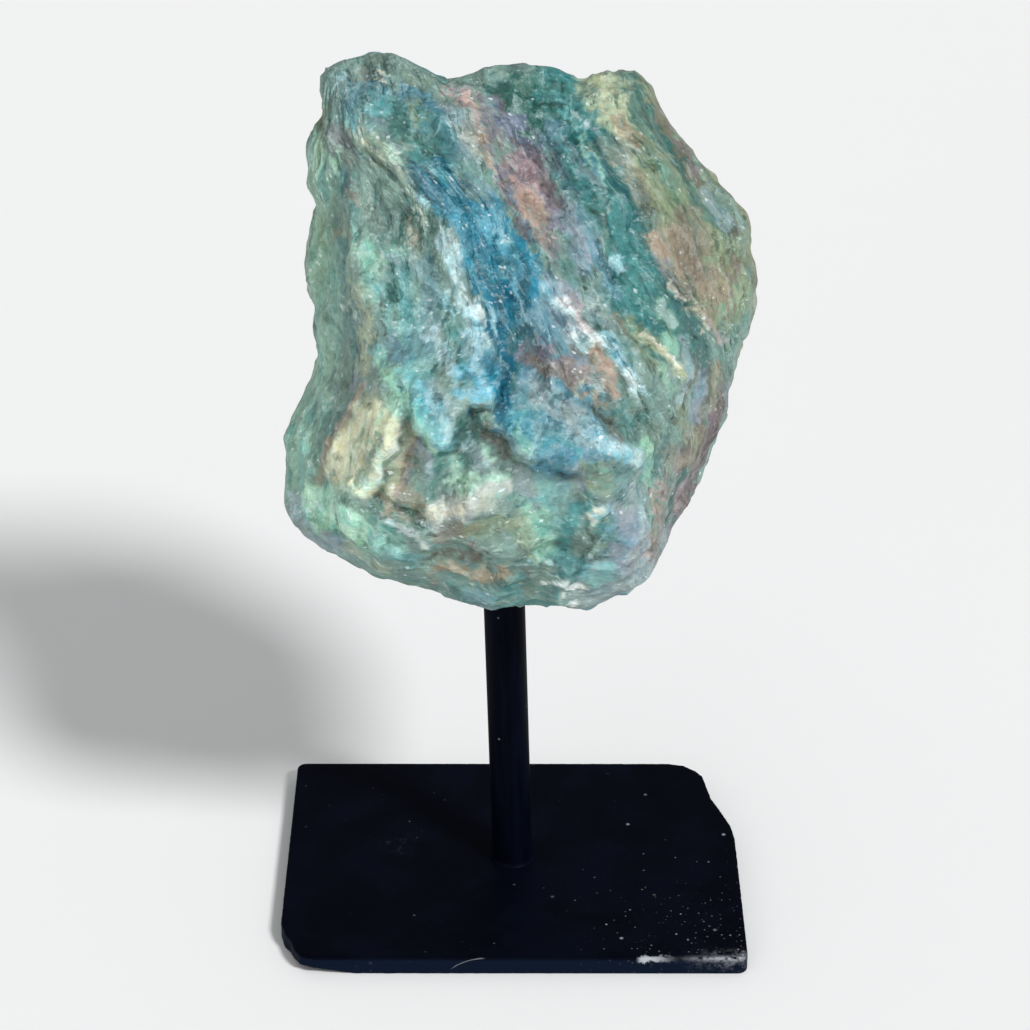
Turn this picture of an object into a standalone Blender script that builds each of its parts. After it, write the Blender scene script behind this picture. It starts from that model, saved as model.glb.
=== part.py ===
"""A rough piece of banded blue-green stone, held up by a leaning round pin on a thin rectangular plate.

Sizes are in millimetres, and MM makes them metres. The origin is the middle of the plate's underside, +Z is
up, and the stone's broken front looks towards -Y. The stone is drawn on a slanting plane. Every point of its
surface has a place on that plane, (across, up), and a distance near of the plane towards the eye, and it
lies on the straight line from the eye through its place. The outline drawn on the plane is then the stone's
outline as the eye sees it.
"""

from math import cos, pi, radians, sin

import bpy
import numpy as np
from mathutils import Matrix, Vector

MM = 0.001
COLLECTION = "rough_aquamarine"
GAP = 0.3

# Plate, seen from above: x to the right, y to the back. Two of its corners are worn away.
PLATE_WIDTH = 72.0
PLATE_DEPTH = 54.0
PLATE_THICK = 3.0
PLATE_CORNER = 1.5
PLATE_EDGE = 0.25
WORN_BACK_RIGHT = (
    (26.1, 27.0), (28.7, 26.4), (30.7, 24.7), (31.7, 23.2), (32.3, 19.5), (32.8, 16.6), (34.3, 12.4),
    (35.5, 8.7), (36.0, 5.0),
)
WORN_FRONT_LEFT = (
    (-30.8, -27.0), (-32.5, -26.3), (-33.6, -24.4), (-34.2, -22.3), (-35.3, -20.3), (-36.0, -17.7),
)
FLAKE_ALONG = 12.0
FLAKE_BACK = 7.0
FLAKE_RISE = 2.0

# Pin, with a low bead round its foot
PIN_RADIUS = 3.175
PIN_LENGTH = 72.0
PIN_LEAN = radians(1.5)
PIN_CHAMFER = 0.5
BEAD_OUT = 0.45
BEAD_HIGH = 0.8
HOLE_SPARE = 1.0
ROUND_STEPS = 48

# Random slopes and tilted planes: the noise's gain, how far a plane is off its cell's middle, how far it rises
# and slopes, and how far out and how fast it ends
NOISE_GAIN = 1.5
PLANE_SCATTER = 0.45
PLANE_RISE = 0.35
PLANE_SLOPE = 0.9
PLANE_ROOM = 0.5
PLANE_END = 2.8

# The plane that the stone is drawn on, square to a line of sight that looks down on it
EYE = np.array((0.4, -407.4, 289.3))
SIGHT_DROP = radians(28.8)
SIGHT_RIGHT = np.array((1.0, 0.0, 0.0))
SIGHT_UP = np.array((0.0, sin(SIGHT_DROP), cos(SIGHT_DROP)))
SIGHT_AHEAD = np.array((0.0, cos(SIGHT_DROP), -sin(SIGHT_DROP)))
PLANE_AHEAD = 450.1
PLANE_RIGHT = 0.73
PLANE_UP = 26.95

# The stone's outline on the plane
STONE_OUTLINE = np.array((
    (33.4, 0.0), (33.9, 4.4), (33.9, 7.3), (32.6, 11.9), (32.0, 16.3), (30.4, 19.1), (28.0, 20.7),
    (26.8, 22.6), (24.8, 26.5), (21.6, 30.7), (18.9, 35.0), (17.2, 37.1), (14.9, 37.6),
    (9.3, 36.6), (7.3, 37.0), (5.2, 38.2), (-2.5, 38.5), (-5.8, 38.3), (-9.5, 37.0), (-15.7, 38.9),
    (-18.9, 39.9), (-21.8, 40.3), (-24.8, 39.5), (-28.8, 37.9), (-29.3, 36.4), (-28.1, 33.9),
    (-28.6, 31.3), (-30.3, 25.5), (-30.0, 21.1), (-29.0, 18.1), (-29.9, 13.8), (-29.9, 8.0),
    (-28.8, 3.9), (-29.7, -0.3), (-29.0, -3.9), (-29.7, -6.6), (-32.2, -11.8), (-33.6, -16.0),
    (-33.5, -19.7), (-34.5, -24.8), (-33.2, -28.0), (-31.2, -30.0), (-27.4, -31.9), (-20.7, -35.7),
    (-11.7, -37.1), (-8.2, -38.7), (-2.9, -39.8), (2.3, -39.9), (6.6, -40.6), (10.1, -40.5),
    (12.8, -39.2), (15.4, -38.2), (18.1, -36.0), (19.8, -34.2), (21.6, -31.2), (23.3, -27.4),
    (25.5, -24.6), (26.7, -21.8), (27.8, -17.5), (29.4, -11.9), (30.3, -8.3), (32.0, -3.4),
))
OUTLINE_BLUR = radians(1.2)

# The stone's big faces, each a plane: a place on it, its distance from the plane there, and how that
# distance grows with each millimetre across and up
FRONT_FACES = (
    ((-7.3, 0.0), 20.0, 0.05, -0.20),
    ((11.7, 4.4), 18.5, -0.22, -0.12),
    ((26.2, 7.3), 12.5, -1.10, -0.25),
    ((-24.8, 0.0), 14.0, 1.70, 0.00),
    ((-2.9, -21.8), 20.0, 0.02, 0.42),
    ((21.8, -21.8), 11.0, -1.20, 0.25),
    ((-25.5, -29.1), 12.0, 0.60, 0.80),
    ((-2.9, 35.0), 9.0, 0.00, -1.60),
    ((-26.2, 35.0), 7.0, 0.70, -1.00),
)
BACK_FACES = (
    ((-10.2, -2.9), 27.0, 0.54, -0.70),
    ((11.7, -2.9), 27.0, -0.63, -0.41),
    ((0.0, -17.5), 33.0, 0.00, 0.14),
    ((0.0, -38.7), 3.0, 0.05, 2.35),
    ((-27.7, -27.7), 11.0, 1.30, 1.20),
    ((20.4, -27.7), 12.0, -1.60, 0.90),
    ((0.0, 35.0), 12.0, -0.50, -4.00),
    ((-26.9, 0.0), 12.0, 2.60, -0.30),
    ((31.3, 4.4), 10.0, -2.60, -0.30),
)
FACE_BLEND = 1.0
FRONT_FULLNESS = 3.2
BACK_FULLNESS = 4.5
LEAST_HALF = 4.0
LEAST_BLEND = 1.5

# How far in front of the plane the stone is widest: a mean, and waves round it (times, height, start)
WIDEST_MEAN = 1.0
WIDEST_WAVES = ((1, 2.5, 0.0), (3, 1.6, 2.0), (5, 1.2, 0.0))

# Broken steps on the front: drop, width of the broken edge, how far the drop eases back on the low side and on
# the high side, which side of the line is low (1 for its left), and the line
STEPS = {
    "tongue": (3.8, 0.4, 8.0, 9.0, -1, (
        (-17.8, -6.1), (-16.5, -8.7), (-16.2, -11.9), (-15.4, -14.3), (-12.5, -16.5),
        (-11.1, -17.3), (-9.9, -16.9), (-9.2, -14.9), (-8.6, -12.5), (-7.3, -11.4), (-4.1, -11.5),
        (-3.2, -9.6), (-2.9, -6.1),
    )),
    "second lobe": (3.2, 0.4, 8.0, 6.0, -1, (
        (-7.3, -12.2), (-5.1, -14.3), (-2.9, -14.9), (-1.6, -15.6), (-0.9, -17.5), (0.3, -18.4),
        (2.0, -19.7), (3.1, -18.8), (4.7, -19.8), (7.0, -20.7), (10.2, -20.4),
    )),
    "tan flake": (2.0, 0.4, 3.0, 4.0, 1, (
        (5.8, -8.4), (8.2, -8.9), (8.4, -11.1), (10.2, -12.1), (13.4, -14.1), (16.2, -16.5),
        (19.2, -17.3), (21.6, -17.2),
    )),
    "crust rim": (1.2, 0.4, 2.5, 3.0, 1, (
        (11.7, -13.1), (14.4, -15.6), (16.2, -16.8), (18.2, -17.8), (19.7, -18.2),
    )),
    "left crest": (1.5, 1.6, 6.0, 6.0, -1, (
        (-23.0, 28.0), (-19.2, 25.5), (-16.8, 23.0), (-15.0, 20.7), (-13.0, 18.5), (-10.6, 16.9),
        (-10.2, 13.1), (-7.9, 7.7), (-5.7, 3.5), (-4.1, -0.3), (-3.4, -4.4), (-3.1, -9.0),
    )),
    "yellow edge": (2.2, 0.6, 5.0, 6.0, 1, (
        (-14.6, -9.6), (-16.3, -12.2), (-17.2, -14.3), (-18.1, -16.9), (-19.7, -19.4),
        (-20.7, -22.9), (-21.6, -24.8),
    )),
    "lump top": (2.0, 0.4, 3.5, 5.0, 1, (
        (-28.8, -21.7), (-25.5, -21.6), (-23.3, -22.1), (-20.7, -24.3), (-18.8, -25.2),
        (-16.0, -26.2), (-14.0, -28.1), (-12.4, -30.2), (-13.1, -32.0), (-14.0, -35.1),
    )),
    "lower hollow lip": (1.8, 0.4, 4.0, 3.0, -1, (
        (-12.8, -31.8), (-10.9, -31.0), (-9.0, -30.7), (-7.3, -31.3), (-4.5, -33.4), (-1.9, -36.0),
    )),
    "bottom lip": (1.4, 0.4, 2.0, 2.5, -1, (
        (-13.8, -36.6), (-8.7, -37.6), (-4.5, -37.9), (0.0, -37.6), (2.8, -37.9), (4.8, -38.9),
    )),
    "lower right step": (1.6, 0.4, 3.0, 2.5, -1, (
        (14.1, -25.5), (11.8, -28.7), (10.5, -31.3), (9.0, -33.4), (8.6, -36.0),
    )),
    "right layer": (1.3, 0.9, 3.0, 7.0, -1, (
        (8.0, 37.6), (9.2, 35.0), (9.6, 28.3), (12.1, 25.3), (14.6, 22.7), (16.6, 21.8),
        (17.9, 16.5), (21.1, 9.6), (23.6, 5.8), (25.8, 2.6),
    )),
    "vein edge": (1.3, 0.6, 4.5, 2.5, 1, (
        (-9.9, 36.4), (-7.3, 33.8), (-5.0, 29.9), (-2.9, 26.2), (0.0, 19.7), (3.6, 13.1),
        (5.5, 9.0), (8.7, 4.4),
    )),
    "left crevice": (1.3, 0.5, 3.0, 1.5, 1, (
        (-19.8, 11.7), (-19.2, 9.0), (-19.5, 6.0), (-18.9, 4.4), (-19.2, 1.5), (-18.6, -2.2),
    )),
    "blue strip": (1.2, 0.8, 4.0, 2.0, 1, (
        (-2.2, 9.9), (-1.5, 4.4), (-1.2, -1.5), (-1.5, -7.3), (-1.9, -13.8),
    )),
}
LINE_FADE = 0.12
LINE_WANDER = 0.55
LINE_WANDER_SIZE = 2.2
FRONT_EDGE = (-0.05, 0.30)
RELIEF_RIM = 0.45

# Ridges on the front: height, half width on the left and on the right of the line, and the line
RIDGES = {
    "yellow band": (1.6, 5.0, 4.0, (
        (-27.1, 15.3), (-25.3, 13.1), (-23.0, 7.3), (-22.4, 0.3), (-23.2, -2.5), (-23.7, -6.7),
        (-25.1, -10.2), (-27.1, -13.7), (-27.5, -18.2), (-29.7, -21.1),
    )),
    "pale curve": (1.2, 2.0, 2.0, (
        (17.5, 0.7), (19.2, -1.0), (21.8, -2.8), (24.2, -4.8), (24.5, -6.7),
    )),
    "glinting ridge": (1.5, 2.5, 2.0, (
        (3.8, 6.3), (7.6, 2.0), (10.6, -0.3), (13.1, -2.0), (14.7, -3.4), (15.6, -5.8),
        (18.9, -8.3), (20.1, -10.5),
    )),
    "outer layer": (1.0, 2.0, 2.0, (
        (19.7, 4.4), (24.6, 5.2), (27.2, 3.2), (30.4, 1.0), (32.2, -1.0),
    )),
    "lower edge": (1.6, 3.5, 3.0, (
        (19.7, -18.2), (20.2, -20.4), (20.7, -24.0), (19.2, -27.8), (17.5, -32.0),
    )),
    "crust crest": (1.4, 4.0, 4.0, (
        (-2.9, -14.9), (2.9, -16.8), (8.7, -17.8), (14.6, -18.2), (18.9, -18.9),
    )),
}
RIDGE_SHARPNESS = 1.3

# Lumps and hollows on the front: place, half length, half width, turn in radians, and height
SWELLINGS = {
    "pale lump": ((-7.0, -25.5), 8.5, 4.5, 0.50, 2.6),
    "channel": ((-9.9, -18.6), 6.0, 3.5, 1.00, -1.2),
    "brown hollow": ((-16.3, -18.6), 5.5, 4.0, 1.30, -1.0),
    "lower hollow": ((-6.1, -34.2), 7.5, 3.6, -0.20, -1.7),
    "pit": ((-16.0, 15.1), 4.2, 2.0, -0.90, -1.6),
    "arch": ((0.4, 26.2), 5.5, 9.0, 0.45, -2.2),
    "purple trough": ((3.6, 18.9), 4.5, 12.0, 0.50, -1.6),
    "left facet": ((-13.8, 4.4), 6.5, 14.0, 0.25, -1.6),
    "lower right hollow": ((5.8, -31.3), 5.0, 5.5, 0.30, -1.8),
    "mint lump": ((-23.0, -29.1), 9.0, 5.5, -0.35, 1.8),
    "green facet": ((17.5, -13.8), 6.0, 3.5, -0.60, -1.2),
    "blue trough": ((0.0, 0.0), 4.0, 14.0, 0.25, -1.6),
    "upper hollow": ((-17.5, 29.1), 9.0, 6.0, -0.40, -1.2),
    "right swell": ((18.9, 13.1), 9.0, 16.0, 0.45, 1.4),
    "lens": ((3.6, -33.8), 2.6, 1.1, -0.45, 0.9),
}

# The same on the back: steps, ridges, lumps and hollows, in places on the plane as seen from the front
BACK_STEPS = {
    "long edge": (4.0, 0.8, 12.0, 9.0, 1, (
        (-13.0, 34.0), (-9.5, 26.0), (-7.0, 17.0), (-2.0, 9.0), (1.0, 0.0), (2.5, -9.0), (7.0, -17.0),
        (9.0, -27.0),
    )),
    "outer sheet": (3.2, 0.8, 8.0, 10.0, 1, (
        (7.0, 34.0), (12.0, 24.0), (15.5, 15.0), (21.0, 6.0), (23.5, -4.0), (25.0, -13.0),
    )),
    "cross break": (4.2, 0.7, 10.0, 9.0, -1, (
        (-29.0, -1.0), (-23.0, -6.0), (-17.5, -5.0), (-12.0, -10.5), (-5.0, -12.0), (1.0, -16.5),
    )),
    "upper break": (2.8, 0.6, 7.0, 6.0, 1, ((-26.0, 17.0), (-19.0, 20.5), (-14.0, 18.0), (-9.0, 22.0))),
    "lower break": (2.8, 0.6, 6.0, 7.0, -1, (
        (-16.0, -24.0), (-8.0, -28.0), (0.0, -26.5), (7.0, -31.0), (13.0, -29.0),
    )),
}
BACK_RIDGES = {
    "spine": (1.8, 5.0, 4.0, ((-20.0, 30.0), (-17.5, 18.0), (-16.0, 6.0), (-17.0, -2.0))),
    "low rib": (1.4, 4.0, 3.0, ((14.0, 2.0), (16.5, -8.0), (17.0, -18.0), (14.5, -26.0))),
}
BACK_SWELLINGS = {
    "back hollow": ((10.0, 14.0), 12.0, 5.5, -1.1, -2.2),
    "low hollow": ((-16.0, -18.0), 9.0, 6.0, 0.4, -1.8),
    "shoulder": ((-12.0, 8.0), 8.0, 5.0, 1.2, 1.4),
}

# The stone's sheets run down and to the right. Each line between two sheets is given as (up, across).
SHEET_LINES = (
    (
        (-42.2, -33.5), (-33.5, -32.0), (-20.4, -28.4), (-10.2, -25.5), (0.0, -23.0), (11.7, -24.8),
        (42.2, -28.8),
    ),
    (
        (-42.2, -7.3), (-27.7, -5.8), (-14.6, -2.9), (-7.9, -3.4), (-0.3, -4.1), (7.7, -7.9),
        (16.9, -10.6), (23.0, -16.8), (27.4, -22.3), (42.2, -25.5),
    ),
    (
        (-42.2, 14.6), (-27.7, 17.5), (-17.5, 18.9), (-10.2, 15.3), (-5.1, 13.4), (1.5, 9.5),
        (9.9, 5.1), (17.5, 1.5), (24.8, -2.9), (30.6, -5.5), (35.7, -9.5), (42.2, -13.8),
    ),
    (
        (-42.2, 21.8), (-27.7, 24.8), (-17.5, 26.2), (-10.2, 28.4), (-2.2, 28.0), (4.4, 24.8),
        (9.6, 21.1), (16.5, 17.9), (22.7, 14.6), (28.3, 9.6), (36.7, 9.2), (42.2, 5.1),
    ),
    (
        (-42.2, 23.3), (-33.5, 24.8), (-24.8, 26.9), (-17.5, 29.9), (-10.2, 32.0), (-1.5, 33.5),
        (5.8, 34.2), (17.5, 32.0), (26.2, 26.2), (42.2, 16.0),
    ),
)
SHEET_WIDTH = 9.0
SHEET_DIP = 0.02

# Broken faces all over the stone: cell size along (across the sheets, down them, into them), and depth
BIG_BREAK_CELL = 12.0
BIG_BREAK_DEPTH = 1.9
SMALL_BREAK_CELL = (2.8, 6.5, 3.5)
SMALL_BREAK_DEPTH = 0.9
SHEET_STEP = 0.75
SHEET_STEPS_PER_SHEET = 4.0
STEP_RISE_SHARE = 0.86
MEAN_SINK = 0.5
RIM_CALM = 0.55
RIM_BAND = 0.3
WANDER_SIZE = 6.0
BIG_WANDER = 1.2
SMALL_WANDER = 0.25
LAYER_SIZE = 9.0
LAYER_WAVE = 0.5
LAYER_RAG = 0.3
STEP_PATCH_SIZE = 10.0
STEP_PATCH = (-0.1, 0.5)

SPHERE_SUBDIVISIONS = 7
STONE_TRIANGLES = 8600

COLOURS = {
    "stone": ((0.20, 0.36, 0.34), 0.42, 0.0),
    "base_plate": ((0.012, 0.014, 0.022), 0.45, 0.0),
    "pin": ((0.012, 0.014, 0.022), 0.40, 0.0),
}


def smooth(low, high, x):
    """0 below low, 1 above high, and a smooth rise between."""
    share = np.clip((x - low) / (high - low), 0, 1)
    return share * share * (3 - 2 * share)


def hashed(cell, seed):
    """Three numbers from -1 to 1 for each whole-numbered cell, the same ones each time."""
    mixed = np.full(len(cell), (seed * 1274126177) & 0xFFFFFFFF, np.uint32)
    for axis, factor in enumerate((374761393, 668265263, 2147483647)):
        mixed += cell[:, axis] * np.uint32(factor)
    mixed ^= mixed >> np.uint32(13)
    mixed *= np.uint32(1274126177)
    mixed ^= mixed >> np.uint32(16)
    numbers = []
    for _ in range(3):
        mixed = mixed * np.uint32(1664525) + np.uint32(1013904223)
        numbers.append((mixed ^ (mixed >> np.uint32(15))) / 2147483648.0 - 1.0)
    return np.stack(numbers, 1)


def cells_of(points):
    """The whole-numbered cell that holds each point, and the place of the point in it."""
    low = np.floor(points)
    return low.astype(np.int64).astype(np.uint32), points - low


def noise(points, seed):
    """Smooth noise from about -1 to 1: random slopes on a grid, blended."""
    cell, inside = cells_of(points)
    blend = inside**3 * (inside * (inside * 6 - 15) + 10)
    total = np.zeros(len(points))
    for corner in np.ndindex(2, 2, 2):
        slope = hashed(cell + np.array(corner, np.uint32), seed)
        weight = np.where(np.array(corner) == 1, blend, 1 - blend).prod(1)
        total += weight * ((inside - corner) * slope).sum(1)
    return total * NOISE_GAIN


def rough(points, seed, octaves=3):
    """Noise on noise, each layer half as large and half as high."""
    return sum(noise(points * 2.0**k, seed + k) * 0.5**k for k in range(octaves))


def broken(points, seed):
    """The lowest of many tilted planes, one to a cell: flat faces that meet in sharp edges."""
    cell, inside = cells_of(points)
    lowest = np.full(len(points), np.inf)
    for step in np.ndindex(3, 3, 3):
        offset = np.array(step) - 1
        near = cell + offset.astype(np.int64).astype(np.uint32)
        away = inside - offset - 0.5 - PLANE_SCATTER * hashed(near, seed)
        slope = hashed(near, seed + 101)
        rise = hashed(near, seed + 202)[:, 0]
        past = np.maximum(np.linalg.norm(away, axis=1) - PLANE_ROOM, 0)
        plane = PLANE_RISE * rise + PLANE_SLOPE * (away * slope).sum(1) + PLANE_END * past**2
        lowest = np.minimum(lowest, plane)
    return lowest


def on_sight_lines(across, up, near):
    """The points in space for places on the plane and distances towards the eye."""
    ray = (
        SIGHT_AHEAD * PLANE_AHEAD
        + SIGHT_RIGHT * (across + PLANE_RIGHT)[:, None]
        + SIGHT_UP * (up + PLANE_UP)[:, None]
    )
    return EYE + ray * (1 - near / PLANE_AHEAD)[:, None]


def outline_reach(angle):
    """How far the outline lies from the plane's middle in each direction."""
    turn = np.arctan2(STONE_OUTLINE[:, 1], STONE_OUTLINE[:, 0]) % (2 * pi)
    order = np.argsort(turn)
    corners = STONE_OUTLINE[order]
    first = np.searchsorted(turn[order], angle % (2 * pi), side="right") - 1
    start = corners[first]
    side = corners[(first + 1) % len(corners)] - start
    crossed = start[:, 0] * side[:, 1] - start[:, 1] * side[:, 0]
    return crossed / (np.cos(angle) * side[:, 1] - np.sin(angle) * side[:, 0])


def lowest_face(faces, across, up):
    """The nearest of the planes at each place, with rounded edges where two meet."""
    heights = np.array([
        height + slope_across * (across - place[0]) + slope_up * (up - place[1])
        for place, height, slope_across, slope_up in faces
    ])
    low = heights.min(0)
    return low - FACE_BLEND * np.log(np.exp((low - heights) / FACE_BLEND).sum(0))


def at_least(floor, x):
    """x where it is well above floor, else floor, and a soft bend between."""
    return floor + LEAST_BLEND * np.logaddexp(0, (x - floor) / LEAST_BLEND)


def widest_near(angle):
    """How far in front of the plane the stone is widest, round its outline."""
    return WIDEST_MEAN + sum(height * np.sin(times * angle + start) for times, height, start in WIDEST_WAVES)


def line_field(across, up, line):
    """Distance to a bent line, 1 on its left or -1 on its right, and the share of its length passed."""
    line = np.array(line)
    sides = np.diff(line, axis=0)
    lengths = np.linalg.norm(sides, axis=1)
    starts = np.concatenate(([0], np.cumsum(lengths)))
    distance = np.full(len(across), np.inf)
    left = np.ones(len(across))
    passed = np.zeros(len(across))
    for start, side, length, before in zip(line, sides, lengths, starts):
        x = across - start[0]
        y = up - start[1]
        share = np.clip((x * side[0] + y * side[1]) / length**2, 0, 1)
        x = x - share * side[0]
        y = y - share * side[1]
        here = np.hypot(x, y)
        nearer = here < distance
        distance = np.where(nearer, here, distance)
        left = np.where(nearer & (side[0] * y < side[1] * x), -1, np.where(nearer, 1, left))
        passed = np.where(nearer, (before + share * length) / starts[-1], passed)
    return distance, left, passed


def faded_ends(passed):
    return smooth(0, LINE_FADE, passed) * smooth(0, LINE_FADE, 1 - passed)


def relief_of(across, up, steps, ridges, swellings):
    """The height of one side's steps, ridges, lumps and hollows."""
    place = np.stack((across, up, np.zeros(len(across))), 1) / LINE_WANDER_SIZE
    across = across + LINE_WANDER * rough(place, 11)
    up = up + LINE_WANDER * rough(place, 23)
    height = np.zeros(len(across))
    for drop, edge, low_reach, high_reach, low_side, line in steps.values():
        distance, left, passed = line_field(across, up, line)
        towards_low = distance * left * low_side
        reach = np.where(towards_low > 0, low_reach, high_reach)
        step = np.tanh(towards_low / edge) * np.exp(-distance / reach)
        height -= 0.5 * drop * step * faded_ends(passed)
    for rise, left_half, right_half, line in ridges.values():
        distance, left, passed = line_field(across, up, line)
        flank = np.clip(1 - distance / np.where(left > 0, left_half, right_half), 0, 1)
        height += rise * flank**RIDGE_SHARPNESS * faded_ends(passed)
    for place, half_length, half_width, turn, rise in swellings.values():
        x = across - place[0]
        y = up - place[1]
        along = (x * cos(turn) + y * sin(turn)) / half_length
        aside = (y * cos(turn) - x * sin(turn)) / half_width
        height += rise * np.clip(1 - along**2 - aside**2, 0, 1) ** 2
    return height


def both_reliefs(across, up, side):
    """The relief of the front where side is above 0, and of the back, turned round, where it is below."""
    front = relief_of(across, up, STEPS, RIDGES, SWELLINGS) * smooth(*FRONT_EDGE, side)
    back = relief_of(across, up, BACK_STEPS, BACK_RIDGES, BACK_SWELLINGS) * smooth(*FRONT_EDGE, -side)
    return front - back


def sheet_number(across, up, near):
    """Which sheet of the stone a place is in, as a number that grows smoothly from left to right."""
    lines = [np.interp(up, *zip(*line)) for line in SHEET_LINES]
    number = (across - lines[0]) / (lines[1] - lines[0])
    for k in range(1, len(lines) - 1):
        inside = k + (across - lines[k]) / (lines[k + 1] - lines[k])
        number = np.where(across > lines[k], inside, number)
    return np.clip(number, -1, len(lines)) + SHEET_DIP * near


def stone_shell(direction):
    """The smooth stone before it is broken: a place, a depth, and how far each point is from the rim."""
    angle = np.arctan2(direction[:, 1], direction[:, 0])
    flat = np.hypot(direction[:, 0], direction[:, 1])
    deep = np.abs(direction[:, 2])
    in_front = direction[:, 2] >= 0
    fullness = np.where(in_front, FRONT_FULLNESS, BACK_FULLNESS)
    scale = (flat**fullness + deep**fullness) ** (-1 / fullness)
    out = flat * scale
    inward = deep * scale
    reach = sum(outline_reach(angle + k * OUTLINE_BLUR) for k in (-1, -0.5, 0, 0.5, 1)) / 5
    across = out * reach * np.cos(angle)
    up = out * reach * np.sin(angle)
    rim = widest_near(angle)
    front = at_least(LEAST_HALF, lowest_face(FRONT_FACES, across, up) - rim)
    back = at_least(LEAST_HALF, lowest_face(BACK_FACES, across, up) + rim)
    near = rim + np.where(in_front, front, -back) * inward
    return across, up, near, inward


def breaks(points, across, up, near, inward):
    """How far each point stands out along its normal: big broken faces, sheet edges, then small ones."""
    sheet = sheet_number(across, up, near)
    grain = np.stack((sheet * SHEET_WIDTH, -up, near), 1)
    wander = np.stack([rough(points / WANDER_SIZE, seed) for seed in (41, 43, 47)], 1)
    height = BIG_BREAK_DEPTH * broken((points + BIG_WANDER * wander) / BIG_BREAK_CELL, 5)
    along = np.stack((sheet, -up / LAYER_SIZE, near / LAYER_SIZE), 1)
    layer = sheet * SHEET_STEPS_PER_SHEET
    layer += LAYER_WAVE * rough(points / LAYER_SIZE, 31) + LAYER_RAG * noise(along, 7)
    share = layer - np.floor(layer)
    rise = np.where(share < STEP_RISE_SHARE, share / STEP_RISE_SHARE, (1 - share) / (1 - STEP_RISE_SHARE))
    height += SHEET_STEP * (rise - 0.5) * smooth(*STEP_PATCH, noise(points / STEP_PATCH_SIZE, 77))
    height += SMALL_BREAK_DEPTH * broken(grain / SMALL_BREAK_CELL + SMALL_WANDER * wander, 9)
    calm = 1 - RIM_CALM * np.exp(-((inward / RIM_BAND) ** 2))
    return (height + MEAN_SINK) * calm


def clear_scene():
    for obj in list(bpy.data.objects):
        bpy.data.objects.remove(obj)


def new_collection(name):
    collection = bpy.data.collections.new(name)
    bpy.context.scene.collection.children.link(collection)
    return collection


def put_in(obj, collection):
    for old in list(obj.users_collection):
        old.objects.unlink(obj)
    collection.objects.link(obj)


def add_material(obj):
    colour, roughness, metallic = COLOURS[obj.name]
    material = bpy.data.materials.new(obj.name)
    material.use_nodes = True
    shader = material.node_tree.nodes["Principled BSDF"]
    shader.inputs["Base Color"].default_value = (*colour, 1.0)
    shader.inputs["Roughness"].default_value = roughness
    shader.inputs["Metallic"].default_value = metallic
    obj.data.materials.append(material)


def cut_with(obj, cutter, cutters):
    """Takes the cutter's shape out of the object."""
    put_in(cutter, cutters)
    cutter.hide_render = True
    cutter.display_type = "WIRE"
    modifier = obj.modifiers.new(cutter.name, "BOOLEAN")
    modifier.operation = "DIFFERENCE"
    modifier.solver = "EXACT"
    modifier.object = cutter


def plate_corners():
    """The plate's outline, from the rounded back left corner round to the right."""
    half_width = PLATE_WIDTH / 2
    half_depth = PLATE_DEPTH / 2
    corners = []
    rounded = ((-1, 1, pi), (1, -1, 0))
    for side_x, side_y, start in rounded:
        middle_x = side_x * (half_width - PLATE_CORNER)
        middle_y = side_y * (half_depth - PLATE_CORNER)
        for step in range(7):
            turn = start - step * pi / 12
            corners.append((middle_x + PLATE_CORNER * cos(turn), middle_y + PLATE_CORNER * sin(turn)))
        corners.extend(WORN_BACK_RIGHT if side_x < 0 else WORN_FRONT_LEFT)
    return corners


def make_plate(parts, cutters):
    curve = bpy.data.curves.new("base_plate", "CURVE")
    curve.dimensions = "2D"
    curve.fill_mode = "BOTH"
    curve.extrude = PLATE_THICK / 2 * MM
    corners = plate_corners()
    spline = curve.splines.new("POLY")
    spline.points.add(len(corners) - 1)
    for point, (x, y) in zip(spline.points, corners):
        point.co = (x * MM, y * MM, 0, 1)
    spline.use_cyclic_u = True
    outline = bpy.data.objects.new("plate_outline", curve)
    outline.location.z = PLATE_THICK / 2 * MM
    parts.objects.link(outline)
    bpy.context.view_layer.update()
    graph = bpy.context.evaluated_depsgraph_get()
    mesh = bpy.data.meshes.new_from_object(outline.evaluated_get(graph))
    plate = bpy.data.objects.new("base_plate", mesh)
    plate.matrix_world = outline.matrix_world
    parts.objects.link(plate)
    bpy.data.objects.remove(outline)
    weld = plate.modifiers.new("weld_caps", "WELD")
    weld.merge_threshold = 0.01 * MM
    cut_with(plate, make_flake_cutter(), cutters)
    bevel = plate.modifiers.new("worn_edges", "BEVEL")
    bevel.width = PLATE_EDGE * MM
    bevel.segments = 2
    bevel.limit_method = "ANGLE"
    bevel.angle_limit = radians(50)
    add_material(plate)


def make_flake_cutter():
    """A block whose top face slants through the plate's lower front left corner."""
    corner = Vector((-PLATE_WIDTH / 2, -PLATE_DEPTH / 2, FLAKE_RISE))
    along = Vector((-PLATE_WIDTH / 2 + FLAKE_ALONG, -PLATE_DEPTH / 2, 0))
    back = Vector((-PLATE_WIDTH / 2, -PLATE_DEPTH / 2 + FLAKE_BACK, 0))
    x_axis = (along - corner).normalized()
    z_axis = x_axis.cross(back - corner).normalized()
    y_axis = z_axis.cross(x_axis)
    size = 4 * FLAKE_ALONG
    bpy.ops.mesh.primitive_cube_add(size=size * MM)
    cutter = bpy.context.object
    cutter.name = "flake_cutter"
    turn = Matrix((x_axis, y_axis, z_axis)).transposed().to_4x4()
    cutter.matrix_world = Matrix.Translation((corner - z_axis * size / 2) * MM) @ turn
    return cutter


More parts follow.
